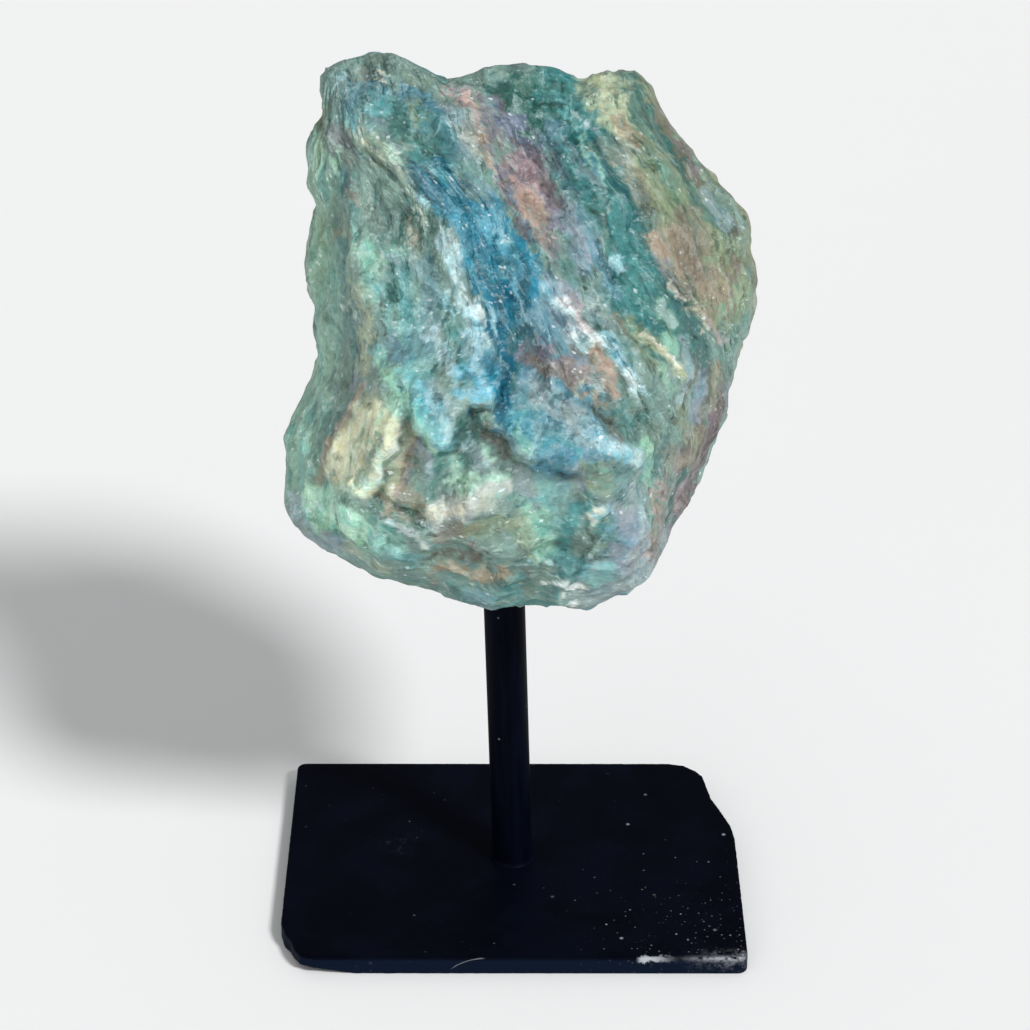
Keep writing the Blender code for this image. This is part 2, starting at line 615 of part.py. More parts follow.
def make_pin(parts):
    """A rod turned from a profile, leaning to the left, its foot just clear of the plate."""
    profile = (
        (0.0, PIN_LENGTH),
        (PIN_RADIUS - PIN_CHAMFER, PIN_LENGTH),
        (PIN_RADIUS, PIN_LENGTH - PIN_CHAMFER),
        (PIN_RADIUS, BEAD_HIGH),
        (PIN_RADIUS + 0.6 * BEAD_OUT, 0.6 * BEAD_HIGH),
        (PIN_RADIUS + BEAD_OUT, 0.25 * BEAD_HIGH),
        (PIN_RADIUS + BEAD_OUT, 0.0),
        (0.0, 0.0),
    )
    mesh = bpy.data.meshes.new("pin")
    points = [(x * MM, 0, z * MM) for x, z in profile]
    mesh.from_pydata(points, [(k, k + 1) for k in range(len(points) - 1)], [])
    pin = bpy.data.objects.new("pin", mesh)
    pin.location.z = (PLATE_THICK + GAP) * MM
    pin.rotation_euler.y = -PIN_LEAN
    parts.objects.link(pin)
    turned = pin.modifiers.new("turned", "SCREW")
    turned.steps = ROUND_STEPS
    turned.render_steps = ROUND_STEPS
    turned.use_merge_vertices = True
    turned.merge_threshold = 0.00001
    turned.use_smooth_shade = True
    add_material(pin)


def make_hole_cutter():
    """A rod along the pin's axis, wider than the pin, that ends inside the stone."""
    length = PIN_LENGTH + HOLE_SPARE
    bpy.ops.mesh.primitive_cylinder_add(
        vertices=ROUND_STEPS, radius=(PIN_RADIUS + GAP) * MM, depth=length * MM
    )
    cutter = bpy.context.object
    cutter.name = "hole_cutter"
    foot = Matrix.Translation((0, 0, (PLATE_THICK + GAP) * MM))
    cutter.matrix_world = (
        foot @ Matrix.Rotation(-PIN_LEAN, 4, "Y") @ Matrix.Translation((0, 0, length / 2 * MM))
    )
    return cutter


def make_stone(parts, cutters):
    bpy.ops.mesh.primitive_ico_sphere_add(subdivisions=SPHERE_SUBDIVISIONS, radius=1.0)
    stone = bpy.context.object
    stone.name = "stone"
    put_in(stone, parts)
    mesh = stone.data
    mesh.name = "stone"
    count = len(mesh.vertices)
    direction = np.empty(count * 3)
    mesh.vertices.foreach_get("co", direction)
    direction = direction.reshape(-1, 3)
    direction /= np.linalg.norm(direction, axis=1, keepdims=True)
    # The sphere is seen from its own -Y side, so its x, z and -y are across, up and near.
    across, up, near, inward = stone_shell(direction[:, (0, 2, 1)] * (1, 1, -1))
    smooth_points = on_sight_lines(across, up, near)
    mesh.vertices.foreach_set("co", (smooth_points * MM).ravel())
    mesh.update()
    normal = np.empty(count * 3)
    mesh.vertex_normals.foreach_get("vector", normal)
    near = near + both_reliefs(across, up, -direction[:, 1]) * smooth(0, RELIEF_RIM, inward)
    points = on_sight_lines(across, up, near)
    points += normal.reshape(-1, 3) * breaks(points, across, up, near, inward)[:, None]
    mesh.vertices.foreach_set("co", (points * MM).ravel())
    mesh.update()
    fewer = stone.modifiers.new("fewer_faces", "DECIMATE")
    fewer.ratio = STONE_TRIANGLES / len(mesh.polygons)
    cut_with(stone, make_hole_cutter(), cutters)
    add_material(stone)


def main():
    clear_scene()
    parts = new_collection(COLLECTION)
    cutters = new_collection("cutters")
    cutters.hide_render = True
    make_plate(parts, cutters)
    make_pin(parts)
    make_stone(parts, cutters)


main()
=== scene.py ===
"""Finishes a packed mineral specimen: its rough stone, pin and plate, with a floor, light and camera.

Lengths are in millimetres, and MM makes them metres. The origin is the middle of the plate's underside, +Z is
up, and the stone's broken front looks towards -Y. The stone is drawn on a slanting plane. Every point of its
surface has a place on that plane, (across, up), and a distance near of the plane towards the eye, and it
lies on the straight line from the eye through its place. The stone's colours are laid on the same plane, as
streaks that follow its sheets.
"""

from math import cos, pi, radians, sin, tan
from types import SimpleNamespace

import bpy
import numpy as np
from bpy.props import FloatProperty, FloatVectorProperty, IntProperty, PointerProperty
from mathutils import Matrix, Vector


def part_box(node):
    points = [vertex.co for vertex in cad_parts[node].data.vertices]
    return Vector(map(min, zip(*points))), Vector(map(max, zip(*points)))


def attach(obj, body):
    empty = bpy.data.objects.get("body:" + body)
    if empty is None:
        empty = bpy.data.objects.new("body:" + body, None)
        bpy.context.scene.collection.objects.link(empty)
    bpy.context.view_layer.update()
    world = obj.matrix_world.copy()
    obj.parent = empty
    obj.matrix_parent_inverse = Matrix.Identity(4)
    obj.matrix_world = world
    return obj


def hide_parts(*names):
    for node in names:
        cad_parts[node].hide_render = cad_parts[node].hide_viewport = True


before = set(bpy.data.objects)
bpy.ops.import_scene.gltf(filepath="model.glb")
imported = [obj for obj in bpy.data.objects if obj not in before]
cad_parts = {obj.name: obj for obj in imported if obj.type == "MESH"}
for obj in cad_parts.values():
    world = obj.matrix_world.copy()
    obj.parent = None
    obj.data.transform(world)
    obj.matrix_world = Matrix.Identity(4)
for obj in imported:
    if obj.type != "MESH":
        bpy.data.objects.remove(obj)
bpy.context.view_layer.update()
PLATE_LOW, PLATE_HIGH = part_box("base_plate")
PIN_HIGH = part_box("pin")[1]

bl_info = {
    "name": "Rough Stone on a Stand",
    "version": (1, 0, 0),
    "blender": (4, 5, 0),
    "location": "View3D > Sidebar > Stone",
    "description": "Builds a rough banded stone on a painted pin and plate",
    "category": "Object",
}

MM = 0.001
PLATE_WIDTH = (PLATE_HIGH.x - PLATE_LOW.x) / MM
PLATE_DEPTH = (PLATE_HIGH.y - PLATE_LOW.y) / MM
PLATE_THICK = (PLATE_HIGH.z - PLATE_LOW.z) / MM
PIN_TOP = PIN_HIGH.z / MM

# Plate, seen from above: x to the right, y to the back. Two corners are round and two are worn.
PLATE_CORNER = 1.5
PLATE_EDGE = 0.3
WORN_BACK_RIGHT = (
    (26.1, 27.0), (28.7, 26.4), (30.7, 24.7), (31.7, 23.2), (32.3, 19.5), (32.8, 16.6), (34.3, 12.4),
    (35.5, 8.7), (36.0, 5.0),
)
WORN_FRONT_LEFT = (
    (-30.8, -27.0), (-32.5, -26.3), (-33.6, -24.4), (-34.2, -22.3), (-35.3, -20.3), (-36.0, -17.7),
)
# The flake off the front left corner, underneath: how far it reaches along the front and back, and its height
FLAKE_ALONG = 12.0
FLAKE_BACK = 7.0
FLAKE_RISE = 2.0
# Wear: its depth, mean share, unevenness and patch size, and where on the way out to the edge it sets in
WEAR_DEPTH = 0.12
WEAR_MEAN = 0.6
WEAR_UNEVEN = 0.5
WEAR_PATCH = 1.2
WEAR_BAND = (0.90, 0.99)
# The plate's mesh: points round it, rings on its faces as shares of its outline, and other rows of points
PLATE_STEPS = 1200
PLATE_RINGS = (0.10, 0.35, 0.60, 0.80, 0.92, 0.97)
PLATE_SIDE_ROWS = 7
EDGE_ROWS = 5
CORNER_POINTS = 13

# Pin: a round rod that leans to the left, with a low bead of paint round its foot
PIN_RADIUS = 3.175
PIN_LEAN = radians(1.5)
PIN_CHAMFER = 0.5
BEAD_OUT = 0.40
BEAD_HIGH = 0.9
BEAD_UNEVEN = 0.3
BEAD_WAVES = 1.5
PIN_STEPS = 144
PIN_ROWS = 60
BEAD_ROWS = 9

# Marks in the paint: the scratch's circle, the smudge, and the depth of the paint's unevenness and its runs
SCRATCH_MIDDLE = (-4.4, 0.0, -4.4)
SCRATCH_RADIUS = 7.3
SMUDGE_MIDDLE = (-18.4, 3.5, PLATE_THICK)
PAINT_DEPTH = 0.02
RUN_DEPTH = 0.03

# The floor's mesh: points round it, and rings out from a small one
FLOOR_STEPS = 96
FLOOR_RINGS = 12
FLOOR_FIRST = 0.02

# Camera: focal length and film width
CAMERA_LENS = 108.0
CAMERA_SENSOR = 36.0

# Whole numbers that scramble a cell's place into random numbers
HASH_FACTORS = (374761393, 668265263, 2147483647)
HASH_MIX = 1274126177
HASH_STEP = 1664525
HASH_ADD = 1013904223
HASH_HALF = 2147483648.0

# Random slopes and tilted planes: the noise's gain, how far a plane is off its cell's middle, how far it
# rises and slopes, and how far out and how fast it ends
NOISE_GAIN = 1.5
PLANE_SCATTER = 0.45
PLANE_RISE = 0.35
PLANE_SLOPE = 0.9
PLANE_ROOM = 0.5
PLANE_END = 2.8

# The plane that the stone is drawn on, square to a line of sight that looks down on it
EYE = np.array((0.4, -407.4, 289.3))
SIGHT_DROP = radians(28.8)
SIGHT_RIGHT = np.array((1.0, 0.0, 0.0))
SIGHT_UP = np.array((0.0, sin(SIGHT_DROP), cos(SIGHT_DROP)))
SIGHT_AHEAD = np.array((0.0, cos(SIGHT_DROP), -sin(SIGHT_DROP)))
PLANE_AHEAD = 450.1
PLANE_RIGHT = 0.73
PLANE_UP = 26.95

# The stone's outline on the plane
STONE_OUTLINE = np.array((
    (33.4, 0.0), (33.9, 4.4), (33.9, 7.3), (32.6, 11.9), (32.0, 16.3), (30.4, 19.1), (28.0, 20.7),
    (26.8, 22.6), (24.8, 26.5), (21.6, 30.7), (18.9, 35.0), (17.2, 37.1), (14.9, 37.6),
    (9.3, 36.6), (7.3, 37.0), (5.2, 38.2), (-2.5, 38.5), (-5.8, 38.3), (-9.5, 37.0), (-15.7, 38.9),
    (-18.9, 39.9), (-21.8, 40.3), (-24.8, 39.5), (-28.8, 37.9), (-29.3, 36.4), (-28.1, 33.9),
    (-28.6, 31.3), (-30.3, 25.5), (-30.0, 21.1), (-29.0, 18.1), (-29.9, 13.8), (-29.9, 8.0),
    (-28.8, 3.9), (-29.7, -0.3), (-29.0, -3.9), (-29.7, -6.6), (-32.2, -11.8), (-33.6, -16.0),
    (-33.5, -19.7), (-34.5, -24.8), (-33.2, -28.0), (-31.2, -30.0), (-27.4, -31.9), (-20.7, -35.7),
    (-11.7, -37.1), (-8.2, -38.7), (-2.9, -39.8), (2.3, -39.9), (6.6, -40.6), (10.1, -40.5),
    (12.8, -39.2), (15.4, -38.2), (18.1, -36.0), (19.8, -34.2), (21.6, -31.2), (23.3, -27.4),
    (25.5, -24.6), (26.7, -21.8), (27.8, -17.5), (29.4, -11.9), (30.3, -8.3), (32.0, -3.4),
))
OUTLINE_BLUR = radians(1.2)
BLUR_STEPS = (-1, -0.5, 0, 0.5, 1)

# The stone's big faces, each a plane: a place on it, its distance from the plane there, and how that
# distance grows with each millimetre across and up
FRONT_FACES = (
    ((-7.3, 0.0), 20.0, 0.05, -0.20),
    ((11.7, 4.4), 18.5, -0.22, -0.12),
    ((26.2, 7.3), 12.5, -1.10, -0.25),
    ((-24.8, 0.0), 14.0, 1.70, 0.00),
    ((-2.9, -21.8), 20.0, 0.02, 0.42),
    ((21.8, -21.8), 11.0, -1.20, 0.25),
    ((-25.5, -29.1), 12.0, 0.60, 0.80),
    ((-2.9, 35.0), 9.0, 0.00, -1.60),
    ((-26.2, 35.0), 7.0, 0.70, -1.00),
)
BACK_FACES = (
    ((-10.2, -2.9), 27.0, 0.54, -0.70),
    ((11.7, -2.9), 27.0, -0.63, -0.41),
    ((0.0, -17.5), 33.0, 0.00, 0.14),
    ((0.0, -38.7), 3.0, 0.05, 2.35),
    ((-27.7, -27.7), 11.0, 1.30, 1.20),
    ((20.4, -27.7), 12.0, -1.60, 0.90),
    ((0.0, 35.0), 12.0, -0.50, -4.00),
    ((-26.9, 0.0), 12.0, 2.60, -0.30),
    ((31.3, 4.4), 10.0, -2.60, -0.30),
)
FACE_BLEND = 1.0
FRONT_FULLNESS = 3.2
BACK_FULLNESS = 4.5
LEAST_HALF = 4.0
LEAST_BLEND = 1.5

# How far in front of the plane the stone is widest: a mean, and waves round it (times, height, start)
WIDEST_MEAN = 1.0
WIDEST_WAVES = ((1, 2.5, 0.0), (3, 1.6, 2.0), (5, 1.2, 0.0))

# Broken steps on the front: drop, width of the broken edge, how far the drop eases back on the low side and
# on the high side, which side of the line is low (1 for its left), and the line
STEPS = {
    "tongue": (3.8, 0.4, 8.0, 9.0, -1, (
        (-17.8, -6.1), (-16.5, -8.7), (-16.2, -11.9), (-15.4, -14.3), (-12.5, -16.5),
        (-11.1, -17.3), (-9.9, -16.9), (-9.2, -14.9), (-8.6, -12.5), (-7.3, -11.4), (-4.1, -11.5),
        (-3.2, -9.6), (-2.9, -6.1),
    )),
    "second lobe": (3.2, 0.4, 8.0, 6.0, -1, (
        (-7.3, -12.2), (-5.1, -14.3), (-2.9, -14.9), (-1.6, -15.6), (-0.9, -17.5), (0.3, -18.4),
        (2.0, -19.7), (3.1, -18.8), (4.7, -19.8), (7.0, -20.7), (10.2, -20.4),
    )),
    "tan flake": (2.0, 0.4, 3.0, 4.0, 1, (
        (5.8, -8.4), (8.2, -8.9), (8.4, -11.1), (10.2, -12.1), (13.4, -14.1), (16.2, -16.5),
        (19.2, -17.3), (21.6, -17.2),
    )),
    "crust rim": (1.2, 0.4, 2.5, 3.0, 1, (
        (11.7, -13.1), (14.4, -15.6), (16.2, -16.8), (18.2, -17.8), (19.7, -18.2),
    )),
    "left crest": (1.5, 1.6, 6.0, 6.0, -1, (
        (-23.0, 28.0), (-19.2, 25.5), (-16.8, 23.0), (-15.0, 20.7), (-13.0, 18.5), (-10.6, 16.9),
        (-10.2, 13.1), (-7.9, 7.7), (-5.7, 3.5), (-4.1, -0.3), (-3.4, -4.4), (-3.1, -9.0),
    )),
    "yellow edge": (2.2, 0.6, 5.0, 6.0, 1, (
        (-14.6, -9.6), (-16.3, -12.2), (-17.2, -14.3), (-18.1, -16.9), (-19.7, -19.4),
        (-20.7, -22.9), (-21.6, -24.8),
    )),
    "lump top": (2.0, 0.4, 3.5, 5.0, 1, (
        (-28.8, -21.7), (-25.5, -21.6), (-23.3, -22.1), (-20.7, -24.3), (-18.8, -25.2),
        (-16.0, -26.2), (-14.0, -28.1), (-12.4, -30.2), (-13.1, -32.0), (-14.0, -35.1),
    )),
    "lower hollow lip": (1.8, 0.4, 4.0, 3.0, -1, (
        (-12.8, -31.8), (-10.9, -31.0), (-9.0, -30.7), (-7.3, -31.3), (-4.5, -33.4), (-1.9, -36.0),
    )),
    "bottom lip": (1.4, 0.4, 2.0, 2.5, -1, (
        (-13.8, -36.6), (-8.7, -37.6), (-4.5, -37.9), (0.0, -37.6), (2.8, -37.9), (4.8, -38.9),
    )),
    "lower right step": (1.6, 0.4, 3.0, 2.5, -1, (
        (14.1, -25.5), (11.8, -28.7), (10.5, -31.3), (9.0, -33.4), (8.6, -36.0),
    )),
    "right layer": (1.3, 0.9, 3.0, 7.0, -1, (
        (8.0, 37.6), (9.2, 35.0), (9.6, 28.3), (12.1, 25.3), (14.6, 22.7), (16.6, 21.8),
        (17.9, 16.5), (21.1, 9.6), (23.6, 5.8), (25.8, 2.6),
    )),
    "vein edge": (1.3, 0.6, 4.5, 2.5, 1, (
        (-9.9, 36.4), (-7.3, 33.8), (-5.0, 29.9), (-2.9, 26.2), (0.0, 19.7), (3.6, 13.1),
        (5.5, 9.0), (8.7, 4.4),
    )),
    "left crevice": (1.3, 0.5, 3.0, 1.5, 1, (
        (-19.8, 11.7), (-19.2, 9.0), (-19.5, 6.0), (-18.9, 4.4), (-19.2, 1.5), (-18.6, -2.2),
    )),
    "blue strip": (1.2, 0.8, 4.0, 2.0, 1, (
        (-2.2, 9.9), (-1.5, 4.4), (-1.2, -1.5), (-1.5, -7.3), (-1.9, -13.8),
    )),
}
LINE_FADE = 0.12
LINE_WANDER = 0.55
LINE_WANDER_SIZE = 2.2
FRONT_EDGE = (-0.05, 0.30)
RELIEF_RIM = 0.45

# Ridges on the front: height, half width on the left and on the right of the line, and the line
RIDGES = {
    "yellow band": (1.6, 5.0, 4.0, (
        (-27.1, 15.3), (-25.3, 13.1), (-23.0, 7.3), (-22.4, 0.3), (-23.2, -2.5), (-23.7, -6.7),
        (-25.1, -10.2), (-27.1, -13.7), (-27.5, -18.2), (-29.7, -21.1),
    )),
    "pale curve": (1.2, 2.0, 2.0, (
        (17.5, 0.7), (19.2, -1.0), (21.8, -2.8), (24.2, -4.8), (24.5, -6.7),
    )),
    "glinting ridge": (1.5, 2.5, 2.0, (
        (3.8, 6.3), (7.6, 2.0), (10.6, -0.3), (13.1, -2.0), (14.7, -3.4), (15.6, -5.8),
        (18.9, -8.3), (20.1, -10.5),
    )),
    "outer layer": (1.0, 2.0, 2.0, (
        (19.7, 4.4), (24.6, 5.2), (27.2, 3.2), (30.4, 1.0), (32.2, -1.0),
    )),
    "lower edge": (1.6, 3.5, 3.0, (
        (19.7, -18.2), (20.2, -20.4), (20.7, -24.0), (19.2, -27.8), (17.5, -32.0),
    )),
    "crust crest": (1.4, 4.0, 4.0, (
        (-2.9, -14.9), (2.9, -16.8), (8.7, -17.8), (14.6, -18.2), (18.9, -18.9),
    )),
}
RIDGE_SHARPNESS = 1.3

# Lumps and hollows on the front: place, half length, half width, turn in radians, and height
SWELLINGS = {
    "pale lump": ((-7.0, -25.5), 8.5, 4.5, 0.50, 2.6),
    "channel": ((-9.9, -18.6), 6.0, 3.5, 1.00, -1.2),
    "brown hollow": ((-16.3, -18.6), 5.5, 4.0, 1.30, -1.0),
    "lower hollow": ((-6.1, -34.2), 7.5, 3.6, -0.20, -1.7),
    "pit": ((-16.0, 15.1), 4.2, 2.0, -0.90, -1.6),
    "arch": ((0.4, 26.2), 5.5, 9.0, 0.45, -2.2),
    "purple trough": ((3.6, 18.9), 4.5, 12.0, 0.50, -1.6),
    "left facet": ((-13.8, 4.4), 6.5, 14.0, 0.25, -1.6),
    "lower right hollow": ((5.8, -31.3), 5.0, 5.5, 0.30, -1.8),
    "mint lump": ((-23.0, -29.1), 9.0, 5.5, -0.35, 1.8),
    "green facet": ((17.5, -13.8), 6.0, 3.5, -0.60, -1.2),
    "blue trough": ((0.0, 0.0), 4.0, 14.0, 0.25, -1.6),
    "upper hollow": ((-17.5, 29.1), 9.0, 6.0, -0.40, -1.2),
    "right swell": ((18.9, 13.1), 9.0, 16.0, 0.45, 1.4),
    "lens": ((3.6, -33.8), 2.6, 1.1, -0.45, 0.9),
}

# The same on the back: steps, ridges, lumps and hollows, in places on the plane as seen from the front
BACK_STEPS = {
    "long edge": (4.0, 0.8, 12.0, 9.0, 1, (
        (-13.0, 34.0), (-9.5, 26.0), (-7.0, 17.0), (-2.0, 9.0), (1.0, 0.0), (2.5, -9.0), (7.0, -17.0),
        (9.0, -27.0),
    )),
    "outer sheet": (3.2, 0.8, 8.0, 10.0, 1, (
        (7.0, 34.0), (12.0, 24.0), (15.5, 15.0), (21.0, 6.0), (23.5, -4.0), (25.0, -13.0),
    )),
    "cross break": (4.2, 0.7, 10.0, 9.0, -1, (
        (-29.0, -1.0), (-23.0, -6.0), (-17.5, -5.0), (-12.0, -10.5), (-5.0, -12.0), (1.0, -16.5),
    )),
    "upper break": (2.8, 0.6, 7.0, 6.0, 1, ((-26.0, 17.0), (-19.0, 20.5), (-14.0, 18.0), (-9.0, 22.0))),
    "lower break": (2.8, 0.6, 6.0, 7.0, -1, (
        (-16.0, -24.0), (-8.0, -28.0), (0.0, -26.5), (7.0, -31.0), (13.0, -29.0),
    )),
}
BACK_RIDGES = {
    "spine": (1.8, 5.0, 4.0, ((-20.0, 30.0), (-17.5, 18.0), (-16.0, 6.0), (-17.0, -2.0))),
    "low rib": (1.4, 4.0, 3.0, ((14.0, 2.0), (16.5, -8.0), (17.0, -18.0), (14.5, -26.0))),
}
BACK_SWELLINGS = {
    "back hollow": ((10.0, 14.0), 12.0, 5.5, -1.1, -2.2),
    "low hollow": ((-16.0, -18.0), 9.0, 6.0, 0.4, -1.8),
    "shoulder": ((-12.0, 8.0), 8.0, 5.0, 1.2, 1.4),
}

# The stone's sheets run down and to the right. Each line between two sheets is given as (up, across).
SHEET_LINES = (
    (
        (-42.2, -33.5), (-33.5, -32.0), (-20.4, -28.4), (-10.2, -25.5), (0.0, -23.0), (11.7, -24.8),
        (42.2, -28.8),
    ),
    (
        (-42.2, -7.3), (-27.7, -5.8), (-14.6, -2.9), (-7.9, -3.4), (-0.3, -4.1), (7.7, -7.9),
        (16.9, -10.6), (23.0, -16.8), (27.4, -22.3), (42.2, -25.5),
    ),
    (
        (-42.2, 14.6), (-27.7, 17.5), (-17.5, 18.9), (-10.2, 15.3), (-5.1, 13.4), (1.5, 9.5),
        (9.9, 5.1), (17.5, 1.5), (24.8, -2.9), (30.6, -5.5), (35.7, -9.5), (42.2, -13.8),
    ),
    (
        (-42.2, 21.8), (-27.7, 24.8), (-17.5, 26.2), (-10.2, 28.4), (-2.2, 28.0), (4.4, 24.8),
        (9.6, 21.1), (16.5, 17.9), (22.7, 14.6), (28.3, 9.6), (36.7, 9.2), (42.2, 5.1),
    ),
    (
        (-42.2, 23.3), (-33.5, 24.8), (-24.8, 26.9), (-17.5, 29.9), (-10.2, 32.0), (-1.5, 33.5),
        (5.8, 34.2), (17.5, 32.0), (26.2, 26.2), (42.2, 16.0),
    ),
)
SHEET_WIDTH = 9.0
SHEET_DIP = 0.02

# Broken faces and sheet edges all over the stone: sizes of cells, across the sheets, down them and into them,
# depths, and how far they wander
BIG_BREAK_CELL = 12.0
BIG_BREAK_DEPTH = 1.9
SMALL_BREAK_CELL = (2.8, 6.5, 3.5)
SMALL_BREAK_DEPTH = 0.9
SHEET_STEP = 0.75
SHEET_STEPS_PER_SHEET = 4.0
STEP_RISE_SHARE = 0.86
MEAN_SINK = 0.5
RIM_CALM = 0.55
RIM_BAND = 0.3
WANDER_SIZE = 6.0
BIG_WANDER = 1.2
SMALL_WANDER = 0.25
LAYER_SIZE = 9.0
LAYER_WAVE = 0.5
LAYER_RAG = 0.3
STEP_PATCH_SIZE = 10.0
STEP_PATCH = (-0.1, 0.5)

# Finer breaks than the solid stone has, given in the same way
CHIP_CELL = np.array((5.0, 9.0, 6.0))
CHIP_DEPTH = 0.9
CHIP_WANDER = 0.3
FINE_BREAK_CELL = np.array((1.3, 3.2, 1.8))
FINE_BREAK_DEPTH = 0.55
LEAF_WIDTH = 1.3
LEAF_WANDER = np.array((4.0, 9.0, 6.0))
LEAF_RAG = 0.9
LEAF_DEPTH = 0.34
LEAF_PATCH_SIZE = 7.0
LEAF_PATCH = (-0.25, 0.45)
GRIT_CELL = np.array((0.6, 2.0, 0.8))
GRIT_DEPTH = 0.10

# The stone's mesh: how far its points crowd to the front, its sharp edges, how far its points are eased, and
# over how many rounds its relief is measured
FRONT_CROWDING = 0.4
SHARP_ANGLE = radians(28)
EASE = 0.35
CLOSE_ROUNDS = 2
FAR_ROUNDS = 14

# Where long blades give way to short chips: at these heights, raised to the right and wandering
FLOW_EDGE = (-12.0, 2.0)
FLOW_SLANT = 0.9
FLOW_WANDER = 3.0
FLOW_WANDER_SIZE = 8.0

# How streaks of colour wander, the share of their half width where they fade, how ragged their sides are, and
# where the front's streaks take over from the back's
STREAK_WANDER = 0.8
STREAK_WANDER_SIZE = 3.0
STREAK_FADE = (0.50, 1.20)
STREAK_REACH = 1.6
STREAK_RAG = 0.25
STREAK_RAG_SIZE = 1.5
STREAK_APART = 7
FRONT_TINT = (-0.50, 0.05)

# Chips that take their colour from one side: size along the grain, farthest shift across and up, and seed
CHIP_RAG = 0.35
CHIP_RAG_SIZE = 2.0
TINT_SHIFTS = (
    (np.array((1.6, 3.6, 2.2)), np.array((0.65, 1.10)), 171),
    (np.array((0.9, 1.8, 1.2)), np.array((0.45, 0.65)), 181),
)

# How much of the shift and wander the colours of a region take, where its edges are crisp
CRISP = {
    "lemon block": 0.35, "pale lump": 0.45, "mint lump": 0.45, "curved layers right": 0.35, "tongue": 0.55,
    "crust": 0.60, "glint band": 0.70, "blue depths": 0.60, "shaded crevices": 0.60,
}

# Sizes of the patterns in the stone's finish, across the sheets, down them and into them
LONG_BLADE_SIZE = (1.5, 9.0, 3.0)
SHORT_BLADE_SIZE = (2.0, 2.9, 2.2)
CHIP_SIZE = (0.9, 2.0, 1.2)
SPLINTER_SIZE = (0.24, 0.40, 0.30)
STREAK_SIZE = (0.40, 5.0, 1.6)
CRYSTAL_SIZE = (0.6, 1.3, 0.8)
THREAD_SIZE = (0.45, 9.0, 3.0)
HUE_SIZE = (1.0, 6.0, 2.4)
# Small and slow bends of those patterns: size, and reach
RAGGED_SIZE = 0.8
RAGGED_BEND = (0.20, 0.28, 0.20)
DRIFT_SIZE = 5.0
DRIFT_BEND = (1.2, 1.8, 1.2)
# Mottles in every direction
MOTTLE_SIZE = 1.4
PATCH_SIZE = 6.0

# The colour under the front's streaks, and those of the back's sheets, from the stone's left to its right
BASE_COLOUR = "sage"
BAND_WANDER = 0.35
BAND_WANDER_SIZE = 14.0
BAND_COLOURS = ("moss", "sage", "fog", "steel", "teal", "mauve", "sage", "taupe", "olive", "tan", "fog")

# The stone's colours in daylight: red, green and blue out of 255
PALETTE = {
    "pine": (84, 122, 115), "moss": (110, 140, 130), "olive": (138, 150, 124), "sage": (124, 148, 141),
    "straw": (174, 183, 158), "lemon": (208, 211, 186), "cream": (205, 203, 186), "mint": (152, 190, 170),
    "frost": (178, 212, 194), "aqua": (132, 178, 178), "ice": (180, 208, 214), "sky": (126, 176, 193),
    "blue": (66, 134, 158), "deep": (40, 104, 128), "ink": (38, 90, 104), "teal": (84, 137, 137),
    "bottle": (52, 98, 92), "slate": (96, 110, 130), "lilac": (144, 152, 165), "mauve": (134, 122, 132),
    "rose": (178, 159, 158), "salmon": (173, 153, 141), "taupe": (136, 130, 118), "tan": (151, 142, 124),
    "umber": (104, 98, 88), "white": (214, 222, 222), "steel": (112, 146, 159), "fog": (150, 166, 169),
    "sea": (54, 102, 103),
}

# Streaks and patches of colour, laid one over another: colour, strength, half width, and then, across and
# up in turn, the points on the plane that each follows. First come the front's, region by region.
STROKES = {}
STROKES["big areas"] = (
    ("steel", 1, 8.7, 0, 0, 5.8, -14.6),
    ("teal", 1, 5, 5.8, 35, 9.5, 26.2, 13.1, 16, 17.5, 5.8, 20.4, 0),
    ("sage", 1, 7.3, -24.8, 30.6, -25.5, 10.2, -26.2, -13.1, -27.7, -24.8),
    ("sage", 1, 8.7, -11.7, -21.8, 2.9, -27.7, 14.6, -27.7),
    # Darker green along the left edge: partly the stone's own colour, partly painted shade of its left side.
    ("moss", 1, 3.8, -32, -21.8, -30.9, -13.1, -28.4, -1.5, -29.1, 11.7, -28.4, 21.8),
    ("fog", 0.9, 5, 17.5, -24.8, 18.9, -33.5, 11.7, -37.9),
    ("sage", 0.9, 5, 24.8, -10.2, 23.3, -17.5, 21.8, -24.8),
    ("olive", 0.9, 5.8, 17.5, 33.5, 21.8, 23.3, 26.2, 14.6, 29.1, 5.8),
)
STROKES["top left cap and slab"] = (
    ("sage", 0.8, 2.3, -27.7, 35.7, -20.4, 37.9, -13.1, 35.7),
    ("steel", 0.8, 4.4, -21.8, 33.5, -14.6, 30.6, -10.9, 27.7),
    ("teal", 0.6, 3.5, -20.4, 32, -13.1, 29.1, -11.7, 23.3),
    ("aqua", 0.55, 1.6, -24.5, 30.9, -22.1, 31.3, -19.7, 32.8),
    ("steel", 0.6, 1.3, -16.8, 33.5, -13.1, 34.2, -10.9, 31.8),
    ("blue", 0.3, 1, -15.7, 33.5, -13.1, 33.5, -11.4, 31.8),
    ("pine", 0.8, 1.7, -18.6, 30.9, -17.2, 28.8, -13.1, 26.9),
    ("olive", 0.6, 1.2, -15.3, 32.3, -14.6, 30.9),
    ("mauve", 0.5, 1, -20.4, 30.3, -19.2, 29.1),
    ("cream", 0.8, 0.6, -21.1, 37.4, -19.2, 36.7),
    ("tan", 0.4, 0.9, -23.3, 37.9, -22.4, 37),
    ("ice", 0.6, 0.6, -26.5, 36, -25.3, 35.5),
    ("fog", 0.8, 1.5, -10.5, 31.8, -8.4, 29.1, -6.4, 25.9),
    ("cream", 0.35, 1.2, -8.4, 29.4, -5.8, 26.2),
)
